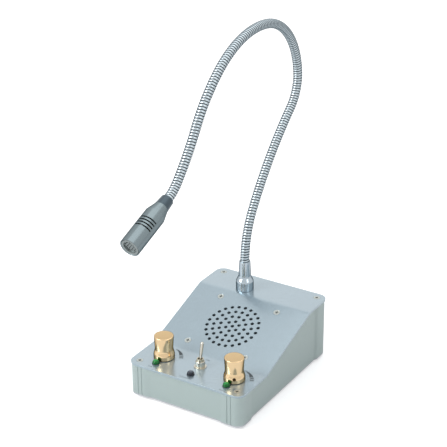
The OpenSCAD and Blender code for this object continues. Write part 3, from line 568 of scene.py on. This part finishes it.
class Form:
    """A mesh in the making: bmesh operators in millimetres."""

    def __init__(self) -> None:
        """Starts with an empty mesh."""
        self.bm = bmesh.new()

    @classmethod
    def of_node(cls, node: str) -> "Form":
        """A merged copy of a CAD node with its flat faces made whole.

        Args:
            node: The CAD node's name.

        Returns:
            The copy in millimetres.
        """
        form = cls()
        bm = form.bm
        bm.from_mesh(frame["nodes"][node].data)
        bmesh.ops.scale(bm, vec=(1 / MM,) * 3, verts=bm.verts)
        bmesh.ops.remove_doubles(bm, verts=bm.verts, dist=MERGE)
        bmesh.ops.dissolve_limit(bm, angle_limit=math.radians(FLAT), verts=bm.verts, edges=bm.edges)
        return form

    def bevel(self, offset: float, segments: int) -> "Form":
        """Rounds every sharp edge.

        Args:
            offset: Width of the rounding in millimetres.
            segments: Faces across the rounding.

        Returns:
            The form itself.
        """
        sharp = [e for e in self.bm.edges if e.is_manifold and e.calc_face_angle(0.0) > math.radians(SHARP)]
        bmesh.ops.bevel(self.bm, geom=sharp, offset=offset, offset_type="OFFSET", affect="EDGES", segments=segments,
                        profile=0.5, clamp_overlap=True, material=-1)
        return self

    def chain(self, points: list[Triple]) -> list:
        """Adds points joined by edges and returns them with their edges."""
        verts = [self.bm.verts.new(p) for p in points]
        return verts + [self.bm.edges.new(pair) for pair in zip(verts, verts[1:])]

    def spin(self, profile: list[Pair], steps: int = 64) -> "Form":
        """Turns a profile of radius and height about Z into a closed form.

        Args:
            profile: Points of radius and height from one pole to the other.
            steps: Faces round the axis.

        Returns:
            The form itself.
        """
        geometry = self.chain([(r, 0.0, z) for r, z in profile])
        bmesh.ops.spin(self.bm, geom=geometry, cent=(0, 0, 0), axis=(0, 0, 1), dvec=(0, 0, 0), angle=2 * math.pi,
                       steps=steps, use_merge=True)
        bmesh.ops.remove_doubles(self.bm, verts=self.bm.verts, dist=MERGE)
        bmesh.ops.recalc_face_normals(self.bm, faces=self.bm.faces)
        return self

    def block(self, size: Triple, centre: Triple) -> "Form":
        """Adds a box of a size about a centre."""
        made = bmesh.ops.create_cube(self.bm, size=1.0)
        bmesh.ops.scale(self.bm, vec=size, verts=made["verts"])
        bmesh.ops.translate(self.bm, vec=centre, verts=made["verts"])
        return self

    def cut(self, other: "Form") -> "Form":
        """Takes another form's volume out of this one.

        Args:
            other: The cutter, which is used up.

        Returns:
            The form itself.
        """
        made = []
        for form in (self, other):
            mesh = bpy.data.meshes.new("cut")
            form.bm.to_mesh(mesh)
            form.bm.free()
            made.append(placed("cut", mesh))
        modifier = made[0].modifiers.new("cut", "BOOLEAN")
        modifier.operation, modifier.solver, modifier.object = "DIFFERENCE", "EXACT", made[1]
        whole = made[0].evaluated_get(bpy.context.evaluated_depsgraph_get())
        self.bm = bmesh.new()
        self.bm.from_mesh(whole.to_mesh())
        for thing in made:
            mesh = thing.data
            bpy.data.objects.remove(thing)
            bpy.data.meshes.remove(mesh)
        return self

    def recesses(self, reach: float = 1.2, walls: int = 2, lift: float = 0.01, lean: float = 0.6) -> "Form":
        """Marks the faces that lie inside narrow slots, for a second finish that paints shade into them.

        Args:
            reach: How far off a facing wall may stand, in millimetres.
            walls: How many of the five looks out of a slot have to meet one.
            lift: Start of each look above the face, in millimetres.
            lean: Share of the normal in each of the four sideways looks.

        Returns:
            The form itself.
        """
        tree = BVHTree.FromBMesh(self.bm)
        for face in self.bm.faces:
            start = face.calc_center_median() + face.normal * lift
            along = face.verts[1].co - face.verts[0].co
            sides = [Matrix.Rotation(turn * math.pi / 2, 3, face.normal) @ along.normalized() for turn in range(4)]
            ways = [face.normal] + [(face.normal * lean + side).normalized() for side in sides]
            met = sum(tree.ray_cast(start, way, reach)[0] is not None for way in ways)
            face.material_index = int(met >= walls)
        return self

    def moved(self, matrix: Matrix) -> "Form":
        """Moves the whole form by a matrix."""
        bmesh.ops.transform(self.bm, matrix=matrix, verts=self.bm.verts)
        return self

    def piece(self, name: str, finish: Finish, slot: str, smooth: float = CREASE) -> bpy.types.Object:
        """Makes the finished object, with hard edges where the surface turns sharply.

        Args:
            name: The piece's name.
            finish: Its surface.
            slot: The record's material slot; not used.
            smooth: Turn in degrees above which an edge stays hard.

        Returns:
            The object, at the origin, with its place in its mesh.
        """
        bmesh.ops.scale(self.bm, vec=(MM,) * 3, verts=self.bm.verts)
        for edge in self.bm.edges:
            edge.smooth = not edge.is_manifold or edge.calc_face_angle(0.0) < math.radians(smooth)
        for face in self.bm.faces:
            face.smooth = True
        mesh = bpy.data.meshes.new(name)
        self.bm.to_mesh(mesh)
        self.bm.free()
        made = placed(name, mesh)
        mesh.materials.append(finish.material())
        made.modifiers.new("weighted normals", "WEIGHTED_NORMAL").keep_sharp = True
        LOG.info("%s: %d faces", name, len(mesh.polygons))
        return made


def refine(node: str, offset: float = 0.0, segments: int = 2, finish: Finish | None = None,
           smooth: float = CREASE, inner: Finish | None = None) -> None:
    """Puts a merged copy with rounded edges in a CAD node's place, on the same body.

    Args:
        node: The CAD node's name.
        offset: Width of the rounded edges in millimetres; 0 leaves them sharp.
        segments: Faces across a rounded edge.
        finish: The surface, or None for that of the node's slot.
        smooth: Turn in degrees above which an edge stays hard.
        inner: The surface that paints shade inside narrow slots, or None where it has none of its own.
    """
    form = Form.of_node(node)
    if inner:
        form.recesses()
    if offset:
        form.bevel(offset, segments)
    slot = SLOTS[node]
    made = form.piece(node + "_finished", finish or FINISHES[slot], slot, smooth)
    if inner:
        made.data.materials.append(inner.material())
    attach(made, BODIES[node])
    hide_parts(node)


def dress_remaining() -> None:
    """Gives each CAD node that nothing replaces the finish of its slot."""
    for name, node in frame["nodes"].items():
        if not node.hide_render:
            node.data.materials.clear()
            node.data.materials.append(FINISHES[SLOTS[name]].material())


def ogee(start: Pair, end: Pair, steps: int = 12) -> list[Pair]:
    """Points of an S-shaped flank between two points of radius and height.

    Args:
        start: Lower point.
        end: Upper point.
        steps: Number of pieces.

    Returns:
        The points, both ends included.
    """
    made = []
    for index in range(steps + 1):
        share = index / steps
        eased = share * share * (3 - 2 * share)
        made.append((start[0] + (end[0] - start[0]) * eased, start[1] + (end[1] - start[1]) * share))
    return made


# ---- the case


@dataclass
class Case:
    """Lacquered case, its glossy top plate, base plate, feet and screws."""

    plate_edge: float = 0.35
    wall_edge: float = 0.15
    base_edge: float = 0.2
    screw_edge: float = 0.08
    foot_radius: float = 6.0
    foot_low: float = -2.5
    foot_high: float = 0.5
    foot_at: Pair = (41.0, 61.0)

    def build(self) -> None:
        """Builds the housing from the outside in."""
        refine("top_plate", self.plate_edge, 3)
        refine("case_ring", self.wall_edge)
        refine("base_plate", self.base_edge)
        for node in ("top_screws", "base_screws", "speaker_screws"):
            # the cross recesses get painted shade
            refine(node, self.screw_edge, inner=RECESS_SHADE)
        self.feet()

    def feet(self) -> None:
        """Turns four rubber feet with rounded rims and a shallow hollow below."""
        form = Form()
        low, rim = self.foot_low, self.foot_radius
        profile = [(0, low + 0.4), (2.6, low + 0.4), (3.1, low + 0.1), (3.6, low), (rim - 1.1, low),
                   (rim - 0.7, low + 0.12), (rim - 0.5, low + 0.5), (rim - 0.1, -0.05), (rim, self.foot_high),
                   (0, self.foot_high)]
        for x, y in ((-1, -1), (-1, 1), (1, -1), (1, 1)):
            place = Matrix.Translation((x * self.foot_at[0], y * self.foot_at[1], 0))
            foot = Form().spin(profile, 48).moved(place)
            mesh = bpy.data.meshes.new("foot")
            foot.bm.to_mesh(mesh)
            foot.bm.free()
            form.bm.from_mesh(mesh)
            bpy.data.meshes.remove(mesh)
        made = form.piece("rubber_feet_finished", FINISHES["foot_rubber"], "foot_rubber", ROUND)
        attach(made, CASE)
        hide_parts("rubber_feet")


@dataclass
class Speaker:
    """Dust cloth right behind the grille, and the driver that it hides."""

    width: float = 70.0
    slope: float = 18.479
    centre: Triple = (0.0, -36.0, FRONT)
    up_slope: float = 42.3
    cloth_low: float = -2.4
    cloth: float = 0.4
    corner: float = 47.6
    margin: float = 3.0
    ripple: float = 0.015
    threads: int = 35
    waves: Pair = (0.9, 0.8)

    def matrix(self) -> Matrix:
        """The slope's own frame, with its zero on the plate over the speaker's middle."""
        turn = Matrix.Rotation(math.radians(self.slope), 4, "X")
        return Matrix.Translation(self.centre) @ turn @ Matrix.Translation((0, self.up_slope, 0))

    def build(self) -> None:
        """Stretches the cloth and rounds what can be seen of the driver."""
        form = Form()
        reach = self.width / 2
        made = bmesh.ops.create_grid(form.bm, x_segments=self.threads, y_segments=self.threads, size=reach)
        for vert in made["verts"]:
            span = math.hypot(vert.co.x, vert.co.y)
            if span > self.corner:
                vert.co *= self.corner / span
            free = max(abs(vert.co.x), abs(vert.co.y)) < reach - self.margin
            wave = math.sin(vert.co.x * self.waves[0]) * math.sin(vert.co.y * self.waves[1])
            vert.co.z = self.ripple * wave if free else 0.0
        bmesh.ops.solidify(form.bm, geom=form.bm.faces[:], thickness=self.cloth)
        bmesh.ops.recalc_face_normals(form.bm, faces=form.bm.faces)
        low = min(v.co.z for v in form.bm.verts)
        form.moved(self.matrix() @ Matrix.Translation((0, 0, self.cloth_low - low)))
        cloth = form.piece("dust_cloth", FINISHES["cloth"], "cloth")
        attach(cloth, CASE)
        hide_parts("grille_cloth")
        refine("speaker_frame", 0.15)
        refine("speaker_cone")
        refine("speaker_magnet", 0.4, 3)


# ---- controls


@dataclass
class Controls:
    """Gold volume knobs, the toggle switch and the three lamps."""

    skirt: float = 9.7
    waist: float = 8.4
    crown: float = 8.9
    flare: Pair = (3.5, 9.5)
    swell: float = 10.5
    height: float = 22.5
    play: float = 0.5
    dish: float = 0.12
    grub_z: float = 5.0
    grub_r: float = 1.55
    grub_span: Pair = (3.4, 12)
    grub_turns: Pair = (160.0, 31.0)
    crease: float = 45.0

    def knob(self, side: str, x: float, turn: float) -> None:
        """Turns one knob, drills its grub hole and gives it rings about its own axis.

        Args:
            side: Which knob, left or right.
            x: Where its axis stands.
            turn: Way that its grub screw looks, from the front, in degrees.
        """
        skirt, waist, crown, top, low = self.skirt, self.waist, self.crown, self.height, self.play
        profile = [(0, low), (skirt - 0.4, low), (skirt - 0.12, low + 0.12), (skirt, low + 0.4),
                   (skirt, self.flare[0] - 0.1)]
        profile += ogee((skirt, self.flare[0]), (waist, self.flare[1]), 16)
        profile += ogee((waist, self.swell), (crown, top - 1.0))
        profile += [(crown, top - 0.7), (crown - 0.08, top - 0.4), (crown - 0.28, top - 0.16),
                    (crown - 0.6, top - 0.05), (crown - 1.0, top), (crown - 1.4, top - 0.02),
                    (crown - 1.8, top - self.dish), (0, top - self.dish)]
        form = Form().spin(profile, 128)
        start, end = self.grub_span
        drill = Form().spin([(0, start), (self.grub_r, start), (self.grub_r, end), (0, end)], 32)
        drill.moved(Matrix.Translation((0, 0, self.grub_z)) @ Matrix.Rotation(math.radians(turn), 4, "Z")
                    @ Matrix.Rotation(math.radians(90), 4, "X"))
        form.cut(drill).moved(Matrix.Translation((x, KNOB_Y, FRONT)))
        base = FINISHES["knob_gold"]
        finish = replace(base, name=f"{side} {base.name}", centre=(x, KNOB_Y, FRONT))
        made = form.piece(side + "_knob_turned", finish, "knob_gold", self.crease)
        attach(made, BODIES[side + "_knob"])
        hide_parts(side + "_knob")
        refine(side + "_grub_screw", 0.12)

    def lamp(self, node: str, centre: Triple) -> None:
        """Gives one lamp a lens whose core lies on its own axis."""
        finish = replace(FINISHES[SLOTS[node]], name=node.replace("_", " ") + " lens", centre=centre)
        refine(node, finish=finish, smooth=ROUND)

    def build(self) -> None:
        """Builds everything on the front flat."""
        for side, x, turn in zip(("left", "right"), KNOB_X, self.grub_turns):
            self.knob(side, x, turn)
        for node, centre in LAMPS.items():
            self.lamp(node, centre)
        for node, edge in (("lamp_clips", 0.12), ("switch_body", 0.18), ("switch_washer", 0.12),
                           ("switch_nut", 0.18)):
            refine(node, edge)
        refine("switch_lever", smooth=ROUND)
        refine("pot_nuts", 0.15)


class Mark(Enum):
    """Words by the lamps and the switch, as plain bars: the middle and the width of each."""

    POWER = (0.0, -76.3, 12.4)
    LEFT = (-37.4, -76.2, 4.6)
    RIGHT = (39.0, -77.3, 6.4)
    SWITCH = (1.3, -40.6, 4.6)


@dataclass
class Markings:
    """Ink on the front flat: the bars, and a wedge with two short bars by each knob."""

    ink: float = 0.04
    word: float = 1.2
    share: float = 0.62
    letter: float = 0.8
    wedge_outer: float = 17.3
    wedge_low: float = 0.4
    wedge_high: float = 3.7
    wedge_from: float = 86.0
    wedge_to: float = 43.0
    bar_angles: tuple[float, ...] = (35.5, 24.5)
    bar_half: float = 2.9

    def band(self, form: Form, centre: Pair, start: float, end: float, low: float, high: float) -> None:
        """Adds a flat curved band that widens inwards from low to high.

        Args:
            form: The form that takes the band.
            centre: Centre of the band's circle.
            start: First angle in degrees.
            end: Last angle in degrees.
            low: Width at the first angle.
            high: Width at the last angle.
        """
        turn = math.radians(end - start)
        first = Matrix.Rotation(math.radians(start), 3, "Z")
        geometry = form.chain([first @ Vector((self.wedge_outer - inward, 0, 0)) for inward in (1, 0)])
        bmesh.ops.spin(form.bm, geom=geometry, cent=(0, 0, 0), axis=(0, 0, 1), dvec=(0, 0, 0), angle=turn,
                       steps=max(2, int(abs(end - start) / 2)), use_merge=False)
        verts = {v for face in form.bm.faces for v in face.verts if not v.tag}
        for vert in verts:
            vert.tag = True
            radius = math.hypot(vert.co.x, vert.co.y)
            share = (math.degrees(math.atan2(vert.co.y, vert.co.x)) - start) / (end - start)
            width = low + (high - low) * share
            vert.co *= (self.wedge_outer - (self.wedge_outer - radius) * width) / radius
        bmesh.ops.translate(form.bm, vec=(centre[0], centre[1], 0), verts=list(verts))

    def build(self) -> None:
        """Prints the wedges and the bars on the plate."""
        form = Form()
        for x in KNOB_X:
            self.band(form, (x, KNOB_Y), self.wedge_from, self.wedge_to, self.wedge_low, self.wedge_high)
            for angle in self.bar_angles:
                self.band(form, (x, KNOB_Y), angle + self.bar_half, angle - self.bar_half, self.wedge_high,
                          self.wedge_high)
        solid = bmesh.ops.extrude_face_region(form.bm, geom=form.bm.faces[:])
        bmesh.ops.translate(form.bm, vec=(0, 0, self.ink),
                            verts=[g for g in solid["geom"] if isinstance(g, bmesh.types.BMVert)])
        for mark in Mark:
            x, y, width = mark.value
            count = 1 if mark is Mark.SWITCH else int(width / self.word)
            step = width / count
            for index in range(count):
                form.block((step * (1.0 if count == 1 else self.share), self.letter, self.ink),
                           (x - width / 2 + step * (index + 0.5), y, self.ink / 2))
        bmesh.ops.recalc_face_normals(form.bm, faces=form.bm.faces)
        form.moved(Matrix.Translation((0, 0, FRONT)))
        made = form.piece("printed_marks", INK, "plate_aluminium")
        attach(made, CASE)


# ---- neck and microphone


@dataclass
class Route:
    """The neck's centre line: arcs of length and turn from the collar's mouth upward."""

    start: Triple = (-16.0, 53.0, 88.5)
    arcs: tuple[Pair, ...] = ((51, 33), (105, 17), (37, -56), (92, -75), (87, -46), (57, -21),
                                             (48, 12), (18, 25))

    def at(self, s: float) -> tuple[Vector, float]:
        """The point and the heading at a length along the neck.

        Args:
            s: Length from the collar's mouth in millimetres; less than 0 lies inside the collar.

        Returns:
            The point, and the lean from upright towards the rear in radians.
        """
        x, y, z = self.start
        heading = 0.0
        left = s
        for length, turn in self.arcs:
            if left <= 0:
                break
            step = min(left, length)
            radius = length / math.radians(turn)
            after = heading + step / radius
            y += radius * (math.cos(heading) - math.cos(after))
            z += radius * (math.sin(after) - math.sin(heading))
            heading = after
            left -= step
        beyond = s if s < 0 else max(left, 0.0)
        return Vector((x, y + beyond * math.sin(heading), z + beyond * math.cos(heading))), heading

    def wrap(self, form: Form) -> Form:
        """Bends a straight form, whose Z is the length along the neck, onto the route."""
        for vert in form.bm.verts:
            point, lean = self.at(vert.co.z)
            side = Vector((0, math.cos(lean), -math.sin(lean)))
            vert.co = point + Vector((vert.co.x, 0, 0)) + side * vert.co.y
        return form

    @property
    def length(self) -> float:
        """Length of the free neck."""
        return sum(length for length, _ in self.arcs)


@dataclass
class Gooseneck:
    """Wound flexible neck, in one piece for each of its bends."""

    route: Route = field(default_factory=Route)
    radius: float = 4.4
    groove: float = 0.62
    pitch: float = 2.6
    seat: float = 18.0
    tail: float = 6.0
    first_bend: float = 25.0
    step: float = 58.0
    bends: int = 8
    steps: int = 22
    reach: float = 25.0
    weld: float = 0.002
    near: float = 0.01
    tooth: tuple[float, ...] = (-1, -0.86, -0.66, -0.36, 0, 0.36, 0.66, 0.86, 1)

    def turns(self, start: float, end: float) -> Form:
        """Winds a straight length of neck, cut square at both ends.

        Args:
            start: Where it starts along the neck.
            end: Where it ends.

        Returns:
            The straight wound form with closed ends.
        """
        form = Form()
        first = math.floor(start / self.pitch) * self.pitch - self.pitch
        count = math.ceil((end - first) / self.pitch) + 1
        profile = [(self.radius - self.groove * abs(t) ** 3, 0.0, first + self.pitch * (0.5 + 0.5 * t))
                   for t in self.tooth]
        bm = form.bm
        bmesh.ops.spin(bm, geom=form.chain(profile), cent=(0, 0, 0), axis=(0, 0, 1),
                       dvec=(0, 0, self.pitch / self.steps), angle=2 * math.pi * count, steps=self.steps * count,
                       use_merge=False)
        bmesh.ops.remove_doubles(bm, verts=bm.verts, dist=self.weld)
        # how deep in its groove each point lies, which the neck's material uses to paint shade
        layer = bm.verts.layers.float.new("groove")
        for vert in bm.verts:
            vert[layer] = (self.radius - math.hypot(vert.co.x, vert.co.y)) / self.groove
        for place, inner in ((start, True), (end, False)):
            bmesh.ops.bisect_plane(bm, geom=bm.verts[:] + bm.edges[:] + bm.faces[:], plane_co=(0, 0, place),
                                   plane_no=(0, 0, 1), clear_inner=inner, clear_outer=not inner)
            rim = [e for e in bm.edges if e.is_boundary and all(abs(v.co.z - place) < self.near for v in e.verts)]
            bmesh.ops.edgeloop_fill(bm, edges=rim)
        bmesh.ops.recalc_face_normals(bm, faces=bm.faces)
        return form

    def build(self) -> None:
        """Builds each bend's length of neck."""
        last = self.route.length + self.tail
        for bend in range(self.bends):
            middle = self.first_bend + bend * self.step
            start = -self.seat if bend == 0 else middle - self.step / 2
            end = last if bend == self.bends - 1 else middle + self.step / 2
            form = self.route.wrap(self.turns(start, end))
            made = form.piece(f"neck_bend_{bend + 1}", FINISHES["neck_steel"], "neck_steel", ROUND)
            reach = min(self.reach, middle - 2) if bend == 0 else self.reach
            points = [self.route.at(middle + side * reach)[0] * MM for side in (-1, 1)]
            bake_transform(made)
            nodes = [f"neck_{bend + 1}"] + (["neck_9"] if bend == self.bends - 1 else [])
            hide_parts(*nodes)


@dataclass
class Microphone:
    """Steel head with slots, dark ferrule, grille and foam."""

    route: Route = field(default_factory=Route)
    bore: float = 8.0
    foam_low: float = 51.4
    foam_high: float = 57.4
    crease: float = 60.0

    def build(self) -> None:
        """Builds the head from the neck to its mouth."""
        point, lean = self.route.at(self.route.length)
        direction = (0.0, math.sin(lean), math.cos(lean))
        for node, edge in (("mic_ferrule", 0.35), ("mic_barrel", 0.22), ("mic_capsule", 0.2)):
            finish = replace(FINISHES[SLOTS[node]], name=node.replace("_", " "), centre=tuple(point),
                             direction=direction)
            refine(node, edge, finish=finish)
        refine("mic_grille", 0.15)
        self.foam(point, direction)

    def foam(self, point: Vector, direction: Triple) -> None:
        """Builds the foam disc with soft edges behind the grille."""
        r, low, high = self.bore, self.foam_low, self.foam_high
        profile = [(0, low), (r - 1.2, low), (r - 0.35, low + 0.35), (r, low + 1.2), (r, high - 1.2),
                   (r - 0.35, high - 0.35), (r - 1.2, high), (0, high)]
        turn = Vector((0, 0, 1)).rotation_difference(Vector(direction)).to_matrix().to_4x4()
        form = Form().spin(profile, 48)
        bmesh.ops.subdivide_edges(form.bm, edges=form.bm.edges[:], cuts=1, use_grid_fill=True)
        form.moved(Matrix.Translation(point) @ turn)
        made = form.piece("mouth_foam", FINISHES["foam"], "foam", self.crease)
        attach(made, BODIES["mic_foam"])
        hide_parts("mic_foam")


@dataclass
class Collar:
    """Chrome socket that carries the neck: straight foot, smooth flare and slim throat."""

    foot: float = 8.4
    waist: float = 5.9
    flare: Pair = (0.28, 0.5)
    lip: float = 5.3
    bore: float = 4.5
    height: float = 29.5
    seat: float = 18.0
    stub: float = 5.0
    stub_length: float = 12.0
    hollow: float = 3.0

    def build(self) -> None:
        """Turns the collar with its blind bore and its threaded stub."""
        foot, h, lip = self.foot, self.height, self.lip
        profile = [(self.hollow, h - self.seat), (self.hollow, -self.stub_length),
                   (self.stub - 0.4, -self.stub_length), (self.stub, 0.4 - self.stub_length), (self.stub, 0),
                   (foot - 0.35, 0), (foot - 0.1, 0.1), (foot, 0.35)]
        profile += ogee((foot, h * self.flare[0]), (self.waist, h * self.flare[1]), 16)
        profile += [(lip, h - 0.35), (lip - 0.1, h - 0.1), (lip - 0.35, h), (self.bore, h),
                    (self.bore, h - self.seat), (self.hollow, h - self.seat)]
        form = Form().spin(profile, 96).moved(Matrix.Translation(COLLAR))
        made = form.piece("neck_collar_turned", FINISHES["collar_chrome"], "collar_chrome", ROUND)
        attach(made, CASE)
        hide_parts("neck_collar")


@dataclass
class Rear:
    """Sockets of the rear wall with their nuts."""

    edge: float = 0.2

    def build(self) -> None:
        """Rounds the edges of the sockets and nuts."""
        for node in ("power_socket", "line_socket", "socket_nuts"):
            refine(node, self.edge)


# ---- studio


@dataclass
class Studio:
    """Pale floor, soft lamps and the camera at the photograph's angle."""

    eye: Triple = (586.6, -953.68, 676.70)
    azimuth: float = 31.88
    elevation: float = 25.09
    roll: float = -0.29
    focal: float = 1389.4
    pixels: int = 447
    sensor: float = 36.0
    floor: float = -2.5
    floor_half: float = 6000.0
    ambient: Colour = (0.5, 0.5, 0.515, 1.0)
    mirrored: float = 0.85
    aim: Triple = (0, 0, 0.1)
    lamps: tuple[tuple[str, Triple, float, float], ...] = (
        ("key", (-0.9, -1.2, 1.1), 1.0, 20.0),
        ("fill", (1.2, -0.3, 0.8), 0.6, 1.5),
        ("top", (0.1, 0.5, 1.6), 1.6, 6.0),
        ("rear", (-0.85, 1.4, 0.85), 1.6, 1.8),
    )

    def camera(self) -> None:
        """Sets the camera as the photograph's lines give it."""
        a, e = math.radians(self.azimuth), math.radians(self.elevation)
        back = Vector((math.sin(a) * math.cos(e), -math.cos(a) * math.cos(e), math.sin(e)))
        right = Vector((math.cos(a), math.sin(a), 0))
        up = back.cross(right)
        roll = math.radians(self.roll)
        c, s = math.cos(roll), math.sin(roll)
        turn = Matrix((right * c + up * s, up * c - right * s, back)).transposed()
        data = bpy.data.cameras.new("camera")
        data.sensor_width = self.sensor
        data.lens = self.focal / self.pixels * self.sensor
        data.clip_start, data.clip_end = 0.05, 50.0
        made = placed("camera", data)
        made.matrix_world = Matrix.Translation(Vector(self.eye) * MM) @ turn.to_4x4()
        bpy.context.scene.camera = made

    def lamp(self, name: str, place: Triple, size: float, power: float) -> None:
        """Hangs one soft square lamp that looks at the case.

        Args:
            name: The lamp's name.
            place: Where it hangs, in metres.
            size: Width in metres.
            power: Power in watts.
        """
        data = bpy.data.lights.new(name, "AREA")
        data.shape, data.size, data.energy = "SQUARE", size, power
        made = placed(name, data)
        made.location = place
        made.rotation_euler = (Vector(self.aim) - Vector(place)).to_track_quat("-Z", "Y").to_euler()

    def world(self) -> None:
        """A plain pale surround."""
        made = bpy.data.worlds.new("surround")
        graph = Graph(made, "ShaderNodeBackground", "ShaderNodeOutputWorld")
        graph.set(Color=graph.mix(graph.seen(self.mirrored), self.ambient, (1.0, 1.0, 1.0, 1.0)))
        bpy.context.scene.world = made

    def ground(self) -> None:
        """A wide pale floor under the feet."""
        form = Form()
        bmesh.ops.create_grid(form.bm, x_segments=1, y_segments=1, size=self.floor_half)
        form.moved(Matrix.Translation((0, 0, self.floor)))
        made = form.piece("floor", FLOOR_PAINT, "case_aluminium")

    def build(self) -> None:
        """Sets the whole studio."""
        self.camera()
        self.world()
        self.ground()
        for name, place, size, power in self.lamps:
            self.lamp(name, place, size, power)
        bpy.context.scene.view_settings.view_transform = "Standard"


def main() -> None:
    """Builds the intercom and its studio."""
    logging.basicConfig(level=logging.INFO, format="%(name)s: %(message)s")
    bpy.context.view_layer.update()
    Studio().build()
    for assembly in (Case(), Speaker(), Controls(), Markings(), Collar(), Gooseneck(), Microphone(), Rear()):
        assembly.build()
        LOG.info("%s done", type(assembly).__name__)
    dress_remaining()


if __name__ == "__main__":
    main()
